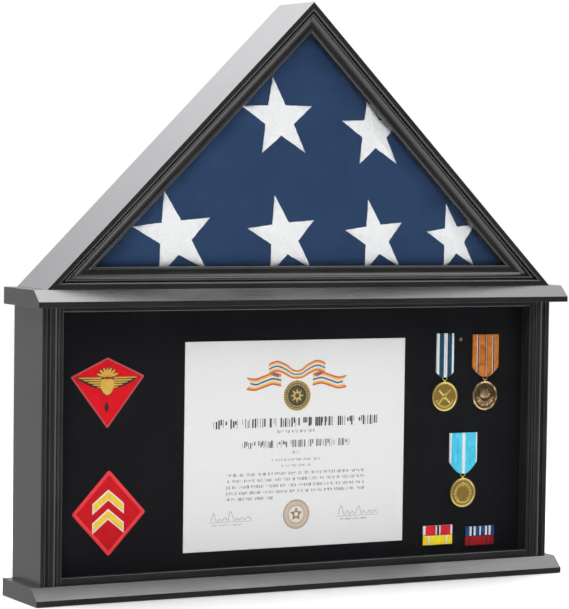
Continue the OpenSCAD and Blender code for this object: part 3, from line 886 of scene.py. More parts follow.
def star_point(middle, radius, pull, spin, share, ring, jitter):
    """A star's point on one of its ten edges at a share from the tip, with its height off the flag.

    Arms that would pass the flag's edge are folded in along it."""
    arm = polar(1, spin[0])
    waist = polar(1, spin[1]) * STAR_WAIST
    out = ring / STAR_RINGS
    u, v = out * (1 - share), out * share
    at = (arm * u + waist * v) * radius
    height = (1 - out) * STAR_CROWN + u * 0.75 + v * 0.4 + 0.9 * u * (1 - share) ** 2 - 0.5 * u * v
    if ring == STAR_RINGS:
        at += at.normalized() * jitter
        height = 0.35
    along = at.dot(arm)
    across = abs(at.dot(Vector((-arm.y, arm.x))))
    spot = middle + Vector((at.x * pull[0] - at.y * pull[1], at.y))
    spot.y = max(spot.y, STAR_FOOT)
    past = FLAG_INSET + 3 - inset_at(spot.x, spot.y)
    if past > 0:
        spot -= Vector((math.copysign(DIAGONAL, spot.x), DIAGONAL)) * past
        spot.y = max(spot.y, STAR_FOOT)
    point = Vector((spot.x, flag_front(spot.x, spot.y) - height, spot.y))
    return point, ((along + 0.4 * across) * MM, across * MM)


def star(x, z, radius, lean, pull, seed):
    """One embroidered star: ridged arms of satin stitches that lie across them."""
    random.seed(seed)
    middle = Vector((x, z))
    jitter = [random.uniform(-0.4, 0.4) for _ in range(10 * STAR_STEPS)]
    angles = [math.radians(90 + lean + 36 * k) for k in range(11)]
    around = 10 * STAR_STEPS
    columns = []
    for edge in range(10):
        spin = (angles[edge], angles[edge + 1]) if edge % 2 == 0 else (angles[edge + 1], angles[edge])
        for step in range(STAR_STEPS + 1):
            share = step / STAR_STEPS if edge % 2 == 0 else 1 - step / STAR_STEPS
            rough = jitter[(edge * STAR_STEPS + step) % around]
            columns.append([star_point(middle, radius, pull, spin, share, ring, rough)
                            for ring in range(1, STAR_RINGS + 1)])
    points, faces, corners = [], [], []
    for edge in range(10):
        for step in range(STAR_STEPS):
            points += [p for p, _ in columns[edge * (STAR_STEPS + 1) + step]]
    hub = len(points)
    points.append(Vector((x, flag_front(x, z) - STAR_CROWN, z)))
    sunk = len(points)
    points += [points[i * STAR_RINGS + STAR_RINGS - 1] + BACK * STAR_ROOT for i in range(around)]
    for i in range(around):
        edge, step = divmod(i, STAR_STEPS)
        here = columns[edge * (STAR_STEPS + 1) + step]
        there = columns[edge * (STAR_STEPS + 1) + step + 1]
        a, b = i * STAR_RINGS, (i + 1) % around * STAR_RINGS
        faces.append((hub, a, b))
        corners.append([(0.0, 0.0), here[0][1], there[0][1]])
        for ring in range(STAR_RINGS - 1):
            faces.append((a + ring, a + ring + 1, b + ring + 1, b + ring))
            corners.append([here[ring][1], here[ring + 1][1], there[ring + 1][1], there[ring][1]])
        last = STAR_RINGS - 1
        faces.append((a + last, sunk + i, sunk + (i + 1) % around, b + last))
        corners.append([here[last][1], here[last][1], there[last][1], there[last][1]])
    faces.append(tuple(range(sunk + around - 1, sunk - 1, -1)))
    corners.append([(0.0, 0.0)] * around)
    return solid(points, faces, corners=corners)


def stars():
    """The rows of stars on the flag's front."""
    number = 0
    for first_x, first_z, first_radius, step, rise, lean, count in STAR_ROWS:
        for k in range(count):
            x = first_x + step * k - STAR_CROWDING * k * (k - 1)
            radius = first_radius - STAR_R_STEP * k
            pull = (1 - STAR_NARROWING * k, STAR_SLANT)
            shape = star(x, first_z + rise * k, radius, lean, pull, 40 + number)
            make(f"star_{number + 1}", shape, [STAR_THREAD], "case", sharp=60)
            number += 1


# ---- Boards behind the display --------------------------------------------------------------

BLOCK_SIDE = 30                       # width and height of a spacer block


def boards():
    """Felt board with its spacer blocks, and the two removable hardboard backs."""
    felt, back = outline_of("display_board"), outline_of("display_back")
    upper = triangle(box("case_back")[0].z - SHELF_TOP)
    for name, node, outline, material, body, slot, ease in (
            ("felt_board", "display_board", felt, FELT, "display_door", "felt", 0.8),
            ("back_panel", "display_back", back, HARDBOARD, "display_door", "fibreboard", 0.4),
            ("case_back_panel", "case_back", upper, HARDBOARD, "flag_back", "fibreboard", 0.4)):
        low, high = box(node)
        make(name, solid(*plate(outline, low.y, high.y, ease)), [material], body, [node])
    low, high = box("standoff_blocks")
    blocks = Shape()
    for x in (low.x, high.x - BLOCK_SIDE):
        for z in (low.z, high.z - BLOCK_SIDE):
            blocks.add(*plate(rectangle(x, x + BLOCK_SIDE, z, z + BLOCK_SIDE), low.y, high.y, 0.5))
    make("spacer_blocks", blocks, [HARDBOARD], "display_door", ["standoff_blocks"])


# ---- Certificate ----------------------------------------------------------------------------

CERT_LOW, CERT_HIGH = box("certificate")
CERT_Z = (CERT_LOW.z + CERT_HIGH.z) / 2
PRINT_UP = 0.04                       # how far printed shapes stand off the card
BLACK, GREY, RED, YELLOW, BLUE, GILT, OLIVE, BROWN, CREAM = range(9)


def printed(shape, outline, colour, lift=PRINT_UP):
    """A flat printed shape on the card's front."""
    rings = [at_depth(outline, CERT_LOW.y + 0.02), at_depth(outline, CERT_LOW.y - lift)]
    shape.add(*loft(rings), colour)


def text_line(shape, x0, x1, foot, height, weight, pitch, colour):
    """A line of plain upright marks in groups, which stands for printed text: no mark is a letter."""
    x = x0
    left = random.randint(3, 9)
    while x < x1:
        tall = height * random.choice((1, 1, 0.97, 0.94, 0.8))
        wide = min(weight * random.choice((1, 1, 0.5, 0.32)), x1 - x)
        low = foot + height * random.choice((0, 0, 0, 0.12, 0.4))
        printed(shape, rectangle(x, x + wide, low, max(foot + tall, low + height * 0.3)), colour)
        x += pitch * random.uniform(0.62, 1.05)
        left -= 1
        if left == 0:
            x += pitch * 1.2
            left = random.randint(3, 10)


def stroke(shape, line, width, colour):
    """A pen stroke along a line of (x, z) points."""
    for here, there in zip(line, line[1:]):
        a, b = Vector(here), Vector(there)
        side = Vector((a.y - b.y, b.x - a.x)).normalized() * width / 2
        printed(shape, [a - side, b - side, b + side, a + side], colour)


def scribble(shape, x0, x1, z, tall, seed):
    """A loose wavy pen line on a rule, which stands for a signature."""
    random.seed(seed)
    points = []
    steps = 15
    for i in range(steps):
        x = x0 + (x1 - x0) * i / (steps - 1)
        high = tall * (0.9 if i in (1, 7) else 0.28) * random.uniform(0.6, 1.1)
        points.append((x + random.uniform(-1, 1), z + (high if i % 2 else 0.4)))
    stroke(shape, smooth_line(points, 4), 0.42, GREY)
    stroke(shape, [(x0 - 3, z - 1.2), (x1 + 2, z - 1.2)], 0.3, GREY)
    text_line(shape, x0 + 1, x1 - 12, z - 5.6, 1.9, 0.45, 1.15, GREY)


def painted_band(shape, line, width, notch, colours, lift=PRINT_UP):
    """A printed ribbon along a line: stripes side by side, with a forked end where notch isn't zero."""
    count = len(line)
    total = len(colours)
    for k, colour in enumerate(colours):
        low, high = k / total - 0.5, (k + 1) / total - 0.5
        edges = []
        for share in (low, high):
            edge = []
            for i, p in enumerate(line):
                wide = width * (0.72 + 0.28 * min(1, abs(p[0]) / 12))
                bite = notch * (1 - 2 * abs(share)) * max(0, i / (count - 1) - 0.6) / 0.4
                edge.append(Vector((p[0] - math.copysign(bite, p[0]), p[1] + wide * share)))
            edges.append(edge)
        for i in range(count - 1):
            printed(shape, [edges[0][i], edges[0][i + 1], edges[1][i + 1], edges[1][i]], colour, lift)


def rosette(shape, x, z, radius, rings, rays, ray_colour):
    """A printed round device: rings of dots around a plain star burst."""
    for share, colour in rings:
        disc = [polar(radius * share, a, x, z) for a in turns(48)]
        printed(shape, disc, colour, PRINT_UP * (1.9 - share))
    size = radius * 0.045
    square = rectangle(-size, size, -size, size)
    for share, count in ((0.86, 36), (0.72, 28)):
        for a in turns(count):
            dot = polar(radius * share, a, x, z)
            printed(shape, [dot + Vector(p) for p in square], ray_colour, PRINT_UP * 2)
    points = []
    for i in range(2 * rays):
        reach = radius * (0.5 if i % 2 == 0 else 0.24)
        points.append(polar(reach, math.pi * i / rays + math.pi / 2, x, z))
    printed(shape, points, ray_colour, PRINT_UP * 2.1)
    printed(shape, [polar(radius * 0.15, a, x, z) for a in turns(24)], rings[-1][1], PRINT_UP * 2.4)


def certificate():
    """A pale card with plain marks for print, two wavy signatures, a medallion on a bow, and a seal."""
    card = solid(*plate(outline_of("certificate"), CERT_LOW.y, CERT_HIGH.y, 0.12))
    white = paper("certificate_card", (0.74, 0.74, 0.73), (0.81, 0.81, 0.80))
    make("certificate_card", card, [white], "display_door", ["certificate"])
    art = Shape()
    random.seed(11)
    z = CERT_Z - 159.0                # the height from which the print's places are counted
    for x0, x1, foot, tall, weight, pitch in (
            (-104, 104, z + 178.0, 10.6, 1.9, 3.3), (-24, 24, z + 171.2, 3.6, 0.7, 1.9),
            (-68, 68, z + 155.0, 8.4, 1.55, 2.8), (-5, 5, z + 147.4, 3.4, 0.7, 2.0),
            (-31, 31, z + 139.8, 2.8, 0.5, 1.5), (-19, 19, z + 133.0, 2.8, 0.5, 1.5)):
        text_line(art, x0, x1, foot, tall, weight, pitch, BLACK if tall > 10 else GREY)
    for row in range(5):
        end = 88 if row < 4 else -26
        text_line(art, -87, end, z + 124.2 - 6.75 * row, 3.5, 0.75, 1.9, GREY)
    scribble(art, -106, -56, z + 75.5, 13, 3)
    scribble(art, 56, 106, z + 75.5, 15, 4)
    stripes = (RED, YELLOW, CREAM, BLUE, CREAM, YELLOW, RED)
    for side in (-1, 1):
        tail = [(20, 230.5), (31, 232.5), (42, 229.5), (53, 226.5), (64, 228)]
        tail = smooth_line(placed(tail, 0, z, side), 6)
        painted_band(art, tail, 14, 6, stripes)
        curl = smooth_line(placed([(35, 243), (31, 238.4), (23, 236.2)], 0, z, side), 5)
        painted_band(art, curl, 5.0, 0, (RED, BLUE, RED), PRINT_UP * 1.4)
        bow = [(0, 236.8), (6, 237.8), (14, 242.5), (24, 246.4), (31, 245.4), (35.8, 243.2)]
        bow = smooth_line(placed(bow, 0, z, side), 6)
        painted_band(art, bow, 12.5, 0, stripes, PRINT_UP * 1.8)
    stroke(art, [(0, z + 229.5), (0, z + 234)], 1.5, GILT)
    rosette(art, 0.3, z + 213, 17.2, ((1, GILT), (0.94, OLIVE), (0.62, BLACK), (0.57, OLIVE)), 8, GILT)
    rosette(art, 1.0, z + 79.2, 16.6, ((1, BROWN), (0.93, CREAM), (0.64, BROWN), (0.58, CREAM)), 5, BROWN)
    inks = [ink("ink_black", (0.022, 0.022, 0.024), (0.05, 0.05, 0.052)),
            ink("ink_grey", (0.06, 0.06, 0.065), (0.14, 0.14, 0.145)),
            ink("ink_red", (0.56, 0.085, 0.03), (0.72, 0.16, 0.06)),
            ink("ink_yellow", (0.80, 0.40, 0.06), (0.88, 0.52, 0.12)),
            ink("ink_blue", (0.03, 0.10, 0.16), (0.06, 0.17, 0.25)),
            ink("ink_gilt", (0.46, 0.31, 0.07), (0.78, 0.60, 0.24), 0.35),
            ink("ink_olive", (0.045, 0.040, 0.02), (0.12, 0.10, 0.05), 0.4),
            ink("ink_brown", (0.27, 0.12, 0.03), (0.48, 0.26, 0.08)),
            ink("ink_cream", (0.71, 0.69, 0.63), (0.77, 0.75, 0.70))]
    make("certificate_print", art, inks, "display_door")


# ---- Embroidered patches --------------------------------------------------------------------

def stitched(shape, outline, back, height, finish, along=RIGHT, ease=0.45):
    """A raised satin-stitched shape; its threads lie across the direction along."""
    points, faces = pillow(outline, back, height, ease)
    axis = Vector(along).normalized()
    pairs = [(p.dot(axis) * MM, p.dot(axis.cross(BACK)) * MM) for p in points]
    shape.add(points, faces, finish, pairs)


def merrow(shape, outline, width, front, thick, pitch, finish):
    """The overlocked edge of a patch: a flat rope of slanting stitches round its outline."""
    path = []
    corners = inset(outline, width / 2)
    for i, here in enumerate(corners):
        after = corners[(i + 1) % len(corners)]
        steps = max(2, round((after - here).length / (pitch / 4)))
        path += [here.lerp(after, k / steps) for k in range(steps)]
    count = len(path)
    rings, pairs = [], []
    travelled = 0.0
    for i, p in enumerate(path):
        forward = (path[(i + 1) % count] - path[i - 1]).normalized()
        side = Vector((-forward.y, forward.x))
        ring = []
        for a in turns(10):
            swell = 1 + 0.10 * math.sin(2 * math.pi * travelled / pitch + a)
            across = side * math.cos(a) * width / 2 * swell
            depth = front + thick / 2 + math.sin(a) * thick / 2 * swell
            ring.append(Vector((p.x + across.x, depth, p.y + across.y)))
            pairs.append(((travelled + 0.5 * math.cos(a) * width) * MM, a * width / 4 * MM))
        rings.append(ring)
        travelled += (path[(i + 1) % count] - p).length
    shape.add(*closed_loft(rings), finish, pairs)


def finish_patch(kind, patch, cloths, threads, colours):
    """Makes a patch's cloth and the embroidery on it.

    The cloth's diagonals fill its box, so its cut has half of the box's area."""
    cloth = make(kind + "_patch", patch, cloths, "display_door", ["patch_" + kind], sharp=50)
    make(kind + "_embroidery", threads, colours, "display_door", sharp=50)


def kite_patch(red, edge, gold, black):
    """Red kite with gold wings, a plain shield between them and a dark lozenge below."""
    low, high = box("patch_kite")
    centre_x = middle_and_half(low, high)[0]
    wing_z = high.z - 20.7
    outline = [(centre_x, low.z), (high.x, wing_z), (centre_x, high.z), (low.x, wing_z)]
    patch, threads = Shape(), Shape()
    front = low.y + 0.5
    patch.add(*plate(inset(outline, 0.7), front, high.y, 0.2))
    merrow(patch, outline, 2.2, low.y, high.y - low.y, 0.9, 1)
    for side in (-1, 1):
        wing = [(6, -13.5), (13, -12.6), (20, -10.6), (27, -7.4), (33, -4.2), (37.2, -1.2), (35, -0.2),
                (6, -0.6)]
        stitched(threads, placed(wing, centre_x, wing_z, side), front, 0.35, 1)
        for k in range(5):
            z = -1.7 - 2.55 * k
            end = 35.4 - 5.6 * k
            feather = [(7.2, z - 0.95), (end - 3.5, z - 0.55), (end, z + 0.5), (end - 1.5, z + 0.95),
                       (7.2, z + 0.95)]
            feather = placed(feather, centre_x, wing_z, side)
            stitched(threads, feather, front, 0.75, 0, Vector((side, 0, 0.5)))
    for k in range(-3, 4):
        turn = math.radians(24 * k)
        reach = 10.8 + 0.95 * abs(k)
        leaf_line = [(0, 0.6), (1.5, reach * 0.55), (1.1, reach * 0.85), (0, reach), (-1.1, reach * 0.85),
                     (-1.5, reach * 0.55)]
        fan = [(centre_x - 0.6 + x * math.cos(turn) + z * math.sin(turn),
                wing_z - 1 + z * math.cos(turn) - x * math.sin(turn)) for x, z in leaf_line]
        stitched(threads, inset(fan, -0.45), front, 0.4, 1)
        stitched(threads, fan, front, 0.8, 0, Vector((math.cos(turn), 0, -math.sin(turn))), 0.3)
    shield = [(0, -21.5), (4.6, -19.2), (7.8, -14.6), (8.9, -8.5), (8.2, -3), (4, -1.4), (0, -2.2),
              (-4, -1.4), (-8.2, -3), (-8.9, -8.5), (-7.8, -14.6), (-4.6, -19.2)]
    shield = placed(shield, centre_x - 0.6, wing_z)
    stitched(threads, shield, front, 0.5, 1)
    stitched(threads, inset(shield, 0.8), front, 0.95, 0, UP)
    lozenge = placed([(-1, -40.0), (1.9, -33.5), (-1, -27.0), (-3.9, -33.5)], centre_x, wing_z)
    stitched(threads, lozenge, front, 0.55, 1, RIGHT, 0.3)
    finish_patch("kite", patch, [red, edge], threads, [gold, black])


def diamond_patch(red, edge, gold, white):
    """Red diamond with a broad overlocked edge and two golden chevrons edged in white."""
    low, high = box("patch_diamond")
    x, z = (low.x + high.x) / 2, (low.z + high.z) / 2
    outline = [(x, low.z), (high.x, z), (x, high.z), (low.x, z)]
    patch, threads = Shape(), Shape()
    front = low.y + 0.55
    patch.add(*plate(inset(outline, 1.5), front, high.y, 0.2))
    merrow(patch, outline, 4.2, low.y, high.y - low.y, 1.1, 1)
    for foot in (-19.5, 1.5):
        chevron = [(0, 14.2), (17.4, 0), (17.4, 8.4), (0, 22.6), (-17.4, 8.4), (-17.4, 0)]
        chevron = placed(chevron, x - 0.8, z + foot)
        stitched(threads, inset(chevron, -1.3), front, 0.45, 1, UP, 0.3)
        for side in (-1, 1):
            arm = [p for p in chevron if (p[0] - x + 0.8) * side > -0.01]
            stitched(threads, inset(arm, 0.15), front, 1.0, 0, Vector((-side, 0, 0.81)), 0.9)
    finish_patch("diamond", patch, [red, edge], threads, [gold, white])


def patches():
    """Both patches with their cloths and threads."""
    gold = thread("gold_thread", (0.55, 0.27, 0.025), (0.86, 0.54, 0.09), 0.0006, 0.4)
    bright = thread("yellow_thread", (0.78, 0.42, 0.012), (0.98, 0.72, 0.05), 0.0006, 0.38)
    black = thread("black_thread", (0.012, 0.008, 0.007), (0.035, 0.022, 0.018), 0.0006, 0.5)
    white = thread("white_thread", (0.70, 0.66, 0.60), (0.92, 0.90, 0.86), 0.0006, 0.4)
    kite_patch(twill("red_twill", (0.48, 0.0015, 0.006), (0.86, 0.004, 0.016)),
               thread("dusky_edge", (0.40, 0.03, 0.045), (0.62, 0.10, 0.12), 0.0009, 0.5), gold, black)
    diamond_patch(twill("deep_red_twill", (0.42, 0.003, 0.007), (0.70, 0.007, 0.014)),
                  thread("red_edge", (0.62, 0.008, 0.016), (0.95, 0.055, 0.07), 0.0011, 0.42), bright, white)


# ---- Medals and ribbon bars -----------------------------------------------------------------

RIB = 0.9                             # height of two cross ribs


def ribbon_cloth(shape, x, half, top, bottom, front, back, stripes, round_top=0.9):
    """A ribbed ribbon with upright stripes. bottom gives the height of its foot at a distance from x."""
    edges = sorted({0.0, 1.0} | {end for end, _ in stripes})
    columns = []
    for a, b in zip(edges, edges[1:]):
        parts = max(1, round((b - a) * half * 2 / 2.2))
        columns += [a + (b - a) * i / parts for i in range(parts)]
    columns.append(1.0)
    rows = max(4, round((top - bottom(0)) / (RIB / 2)))
    grid, rear, finish = [], [], []
    for r in range(rows + 1):
        line, behind = [], []
        for c in columns:
            px = x - half + 2 * half * c
            foot = bottom(abs(px - x))
            z = top - (top - foot) * r / rows
            rib = 0.05 * (-1) ** r
            side = min(px - x + half, x + half - px)
            curl = round_top * (1 - min(1, side / 0.8)) ** 2 * 0.35
            near_top = max(0.0, 1 - (top - z) / round_top)
            near_foot = max(0.0, 1 - (z - foot) / 0.9)
            bow = 0.25 * (abs(px - x) / half) ** 2
            depth = front + rib + curl + round_top * 0.8 * near_top ** 2 + 0.4 * near_foot ** 2 + bow
            line.append(Vector((px, min(depth, back - 0.1), z)))
            behind.append(Vector((px, back, z)))
        grid.append(line)
        rear.append(behind)
    wide = len(columns)
    points = [p for line in grid + rear for p in line]
    faces = []
    offset = (rows + 1) * wide
    for r in range(rows):
        for c in range(wide - 1):
            a = r * wide + c
            middle = (columns[c] + columns[c + 1]) / 2
            colour = next(number for end, number in sorted(stripes) if middle <= end)
            faces.append((a, a + 1, a + wide + 1, a + wide))
            faces.append((offset + a + wide, offset + a + wide + 1, offset + a + 1, offset + a))
            finish += [colour, colour]
    rim = [c for c in range(wide)] + [r * wide + wide - 1 for r in range(1, rows + 1)] \
        + [rows * wide + c for c in range(wide - 2, -1, -1)] + [r * wide for r in range(rows - 1, 0, -1)]
    for i, a in enumerate(rim):
        b = rim[(i + 1) % len(rim)]
        faces.append((a, offset + a, offset + b, b))
        finish.append(finish[0])
    shape.add(points, faces, finish)


# Stripes of each ribbon: the share of the width where a stripe ends, and its colour's number.
RIBBONS = [
    ((0.13, 1), (0.40, 0), (0.475, 1), (0.525, 2), (0.60, 1), (0.87, 0), (1.0, 1)),
    ((0.15, 0), (0.17, 1), (0.22, 2), (0.24, 4), (0.455, 0), (0.49, 2), (0.53, 4), (0.545, 3),
     (0.75, 0), (0.77, 1), (0.82, 2), (0.84, 4), (1.0, 0)),
    ((0.05, 1), (0.43, 0), (0.46, 2), (0.54, 1), (0.57, 2), (0.95, 0), (1.0, 1))]
# Z of each ribbon's shoulder above the tip, which the rest of its place follows.
SHOULDERS = (6.0, 11.4, 13.6)
TIP_HALF = 3.5                        # half width of a ribbon's blunt tip
# Thickness of a ribbon's front and rear falls, and how far its core ends before the rear face.
FALL = 0.75
REAR_FALL = 0.45
CORE_BACK = 0.5
CORE_UP = 3.7                         # how far it ends above the foot, clear of the pendant's ring


def medal_ribbons():
    """The three pointed ribbons, each a front fall, a core and a back fall."""
    white = silk("white", (0.66, 0.66, 0.68), (0.86, 0.86, 0.87))
    palettes = [
        [silk("teal", (0.002, 0.034, 0.072), (0.010, 0.088, 0.155)), white,
         silk("pale_rose", (0.55, 0.48, 0.52), (0.70, 0.64, 0.68))],
        [silk("orange", (0.26, 0.062, 0.010), (0.74, 0.255, 0.022)), white,
         silk("plum", (0.07, 0.012, 0.03), (0.14, 0.03, 0.06)),
         silk("umber", (0.03, 0.008, 0.006), (0.07, 0.02, 0.014)),
         silk("pale_rust", (0.36, 0.16, 0.10), (0.72, 0.42, 0.26))],
        [silk("sky", (0.012, 0.36, 0.60), (0.115, 0.74, 0.93)), white,
         silk("pale_sky", (0.35, 0.60, 0.72), (0.50, 0.74, 0.84))]]
    for number, (stripes, palette, shoulder) in enumerate(zip(RIBBONS, palettes, SHOULDERS)):
        node = f"medal_{number + 1}_ribbon"
        low, high = box(node)
        x, half = middle_and_half(low, high)

        def foot(away, low_z=low.z, rise=shoulder, half=half):
            return low_z + rise * (max(0.0, away - TIP_HALF) / (half - TIP_HALF)) ** 1.45

        def core_foot(away, foot=foot):
            return foot(away) + CORE_UP

        cloth = Shape()
        ribbon_cloth(cloth, x, half, high.z, foot, low.y, low.y + FALL, stripes)
        ribbon_cloth(cloth, x, half - 0.5, high.z - 0.6, core_foot, low.y + FALL, high.y - CORE_BACK,
                     stripes, 0.1)
        ribbon_cloth(cloth, x, half, high.z, foot, high.y - REAR_FALL, high.y, stripes, 0.1)
        piece = make(f"ribbon_{number + 1}", cloth, palette, "display_door", [node], sharp=50)


def leaf(at, tip, wide, u, v):
    """Height of a leaf-shaped bump from at to tip, at a point."""
    away = tip - at
    p = Vector((u, v)) - at
    along = p.dot(away) / away.length_squared
    if not 0 <= along <= 1:
        return 0.0
    across = abs(p.x * away.y - p.y * away.x) / away.length / wide
    body = math.sin(math.pi * along) ** 0.7
    return max(0.0, body - across) * (1 if across > 0.12 else 0.8)


def rod_relief(a, b, wide, u, v):
    """Height of a round rod from a to b, at a point."""
    away = b - a
    p = Vector((u, v)) - a
    along = min(1, max(0, p.dot(away) / away.length_squared))
    off = (p - away * along).length / wide
    return math.sqrt(max(0.0, 1 - off * off))


def bead(at, wide, u, v):
    """Height of a round bead, at a point."""
    return rod_relief(at, at + Vector((0.001, 0)), wide, u, v)


def crossed_rods(u, v):
    """Two crossed rods under a round boss, over a field of fine rays, and pearls along the foot."""
    high = 0.10 + 0.05 * math.sin(18 * math.atan2(v, u))
    high = max(high, 0.75 * rod_relief(Vector((-0.40, -0.40)), Vector((0.40, 0.40)), 0.07, u, v))
    high = max(high, 0.95 * rod_relief(Vector((0.40, -0.40)), Vector((-0.40, 0.40)), 0.07, u, v))
    high = max(high, bead(Vector((0, 0)), 0.19, u, v))
    for k in range(11):
        a = math.radians(205 + 13 * k)
        pearl = polar(0.70, a)
        high = max(high, 0.85 * bead(pearl, 0.062, u, v))
    return high


def heaped_leaves(u, v):
    """A dense heap of leaves over the lower half and a smaller spray of them above."""
    high = 0.08 + 0.06 * noise.noise(Vector((u * 7, v * 7, 2)))
    for k in range(9):
        a = math.radians(188 + 20 * k)
        root = Vector((0.28 * math.cos(a) * 1.1, -0.18 + 0.16 * math.sin(a)))
        tip = polar(0.80, a)
        high = max(high, (0.65 + 0.3 * (k % 2)) * leaf(root, tip, 0.15, u, v))
    for k in range(7):
        a = math.radians(6 + 28 * k)
        tip = polar(0.46, a, 0, 0.10)
        high = max(high, (0.9 - 0.25 * (k % 2)) * leaf(Vector((0, -0.16)), tip, 0.12, u, v))
    return high


def open_wreath(u, v):
    """An open wreath of leaves round a plain field, with a row of beads at the foot."""
    high = 0.14 + 0.04 * noise.noise(Vector((u * 9, v * 9, 5)))
    for side in (-1, 1):
        for k in range(7):
            a = math.radians(-62 + 22 * k)
            at = Vector((side * 0.62 * math.cos(a), 0.62 * math.sin(a)))
            b = a + math.radians(24)
            for reach, tall, wide in ((0.70, 0.85, 0.09), (0.50, 0.7, 0.08)):
                tip = Vector((side * reach * math.cos(b), reach * math.sin(b)))
                high = max(high, tall * leaf(at, tip, wide, u, v))
    for k in range(-4, 5):
        a = math.radians(270 + 10 * k)
        high = max(high, 0.95 * bead(polar(0.68, a), 0.055, u, v))
    return high


DISC_R = 17                           # a medal's disc, its ring and the ring's wire
RING_R = 3
WIRE_R = 0.45
DISC_HOLLOW = 1.05                    # depth of the lowest ground below the rim's crown
# Shares of the radius where the groove inside the rim, the rim itself and its outer slope begin.
RIM_GROOVE = 0.86
RIM_START = 0.885
RIM_SLOPE = 0.97
WIRE_SHINE = (0.8, 0.5)               # how clean a ring's metal is


def disc_height(share, a, relief):
    """Height of a medal's face at a share of its radius and an angle: relief, groove, rim and slope."""
    if share > RIM_SLOPE:
        return 0.45
    if share > RIM_START:
        return 0.85 + 0.15 * math.sin(math.pi * (share - RIM_START) / 0.085)
    if share > RIM_GROOVE:
        return 0.35
    return relief(share * math.cos(a), share * math.sin(a))


def pendant(number, relief, material, lumpy=0.0):
    """A struck disc with a raised rim, a loop on top and a round ring through the ribbon's slot."""
    name = f"pendant_{number}"
    node = f"medal_{number}_pendant"
    low, high = box(node)
    x, disc_z = middle_and_half(low, high)[0], low.z + DISC_R
    front, back = low.y, high.y
    around, rings, pairs = turns(120), [], []
    for share in (0.02 + 0.98 * i / 40 for i in range(41)):
        ring = []
        for a in around:
            u, v = share * math.cos(a), share * math.sin(a)
            edge = 1 - lumpy * (0.5 + 0.5 * math.sin(9 * a)) if share > 0.9 else 1
            up = disc_height(share, a, relief)
            depth = front + DISC_HOLLOW * (1 - up)
            ring.append(Vector((x + DISC_R * u * edge, depth, disc_z + DISC_R * v * edge)))
            pairs.append((up, share))
        rings.append(ring)
    for inward, depth in ((0.0, 1.5), (0.4, back - front), (8, back - front), (16.9, back - front)):
        rings.append(at_depth([polar(DISC_R - inward, a, x, disc_z) for a in around], front + depth))
        pairs += [(0.5, 1.0)] * len(around)
    shape = solid(*loft(rings), 0, pairs)
    pivot_z = disc_z + DISC_R + 1.6 + RING_R
    loops = []
    for a in turns(40):
        out = Vector((math.cos(a), 0, math.sin(a)))
        loops.append([Vector((x, FELT_Y - 1.15, pivot_z)) + out * (RING_R + WIRE_R * math.cos(b))
                      + BACK * WIRE_R * math.sin(b) for b in turns(12)])
    points, faces = closed_loft(loops)
    shape.add(points, faces, 0, [WIRE_SHINE] * len(points))
    loop_profile = [(0.4, -0.75), (1.1, -0.6), (1.5, -0.1), (1.5, 0.1), (1.1, 0.6), (0.4, 0.75)]
    loop_at = Vector((x, (front + back) / 2, disc_z + DISC_R + 0.6))
    points, faces = ring_lathe(loop_profile, loop_at, BACK, RIGHT, 20)
    shape.add(points, faces, 0, [WIRE_SHINE] * len(points))
    make(name, shape, [material], name, [node], sharp=60)


def pendants():
    """The three medals' discs: two gilt ones and one of bronze with a lumpy rim."""
    gilt = worked_metal("gilt", (0.50, 0.30, 0.055), (1.0, 0.80, 0.26), 0.32)
    bronze = worked_metal("bronze", (0.10, 0.050, 0.02), (1.0, 0.70, 0.38), 0.26)
    pendant(1, crossed_rods, gilt)
    pendant(2, heaped_leaves, bronze, 0.04)
    pendant(3, open_wreath, gilt)


BAR_PLATE = 0.35                      # thickness of the plate


def ribbon_bars():
    """Four service ribbons, each stretched over a small brass plate."""
    white = silk("bar_white", (0.66, 0.66, 0.68), (0.86, 0.86, 0.87))
    navy = silk("bar_navy", (0.008, 0.018, 0.075), (0.02, 0.045, 0.15))
    black = silk("bar_black", (0.006, 0.006, 0.009), (0.016, 0.016, 0.022))
    bars = {
        "bar_red": ([silk("red", (0.52, 0.004, 0.018), (0.86, 0.016, 0.048)), white, navy],
                    ((0.07, 1), (0.42, 0), (0.46, 1), (0.54, 2), (0.58, 1), (0.93, 0), (1, 1))),
        "bar_yellow": ([silk("yellow", (0.84, 0.58, 0.008), (1.0, 0.86, 0.04)), white],
                       ((0.17, 0), (0.19, 1), (0.20, 0), (0.22, 1), (0.78, 0), (0.80, 1), (0.81, 0),
                        (0.83, 1), (1, 0))),
        "bar_blue": ([silk("blue", (0.003, 0.026, 0.12), (0.010, 0.10, 0.31)), white, black],
                     ((0.13, 0), (0.20, 1), (0.27, 2), (0.34, 1), (0.475, 0), (0.52, 1),
                      (0.67, 0), (0.74, 1), (0.80, 2), (0.865, 1), (1, 0))),
        "bar_maroon": ([silk("maroon", (0.25, 0.003, 0.009), (0.52, 0.010, 0.020)),
                        silk("dark_maroon", (0.09, 0.003, 0.006), (0.20, 0.010, 0.014))],
                       ((0.09, 0), (0.12, 1), (0.15, 0), (0.18, 1), (0.70, 0), (0.76, 1), (0.84, 0),
                        (0.88, 1), (0.94, 0), (1, 1)))}
    for node, (palette, stripes) in bars.items():
        low, high = box(node)
        bar = Shape()
        x, half = middle_and_half(low, high)
        plate_front = high.y - BAR_PLATE
        ribbon_cloth(bar, x, half, high.z, lambda away, z=low.z: z, low.y, plate_front, stripes, 0.8)
        piece = make("service_" + node, bar, palette, "display_door", [node], sharp=50)
        outline = rectangle(low.x + 0.3, high.x - 0.3, low.z + 0.3, high.z - 0.3)
        backing = solid(*plate(outline, plate_front, high.y, 0.1))
        make(node.replace("bar_", "service_bar_plate_"), backing, [BRASS], "display_door")


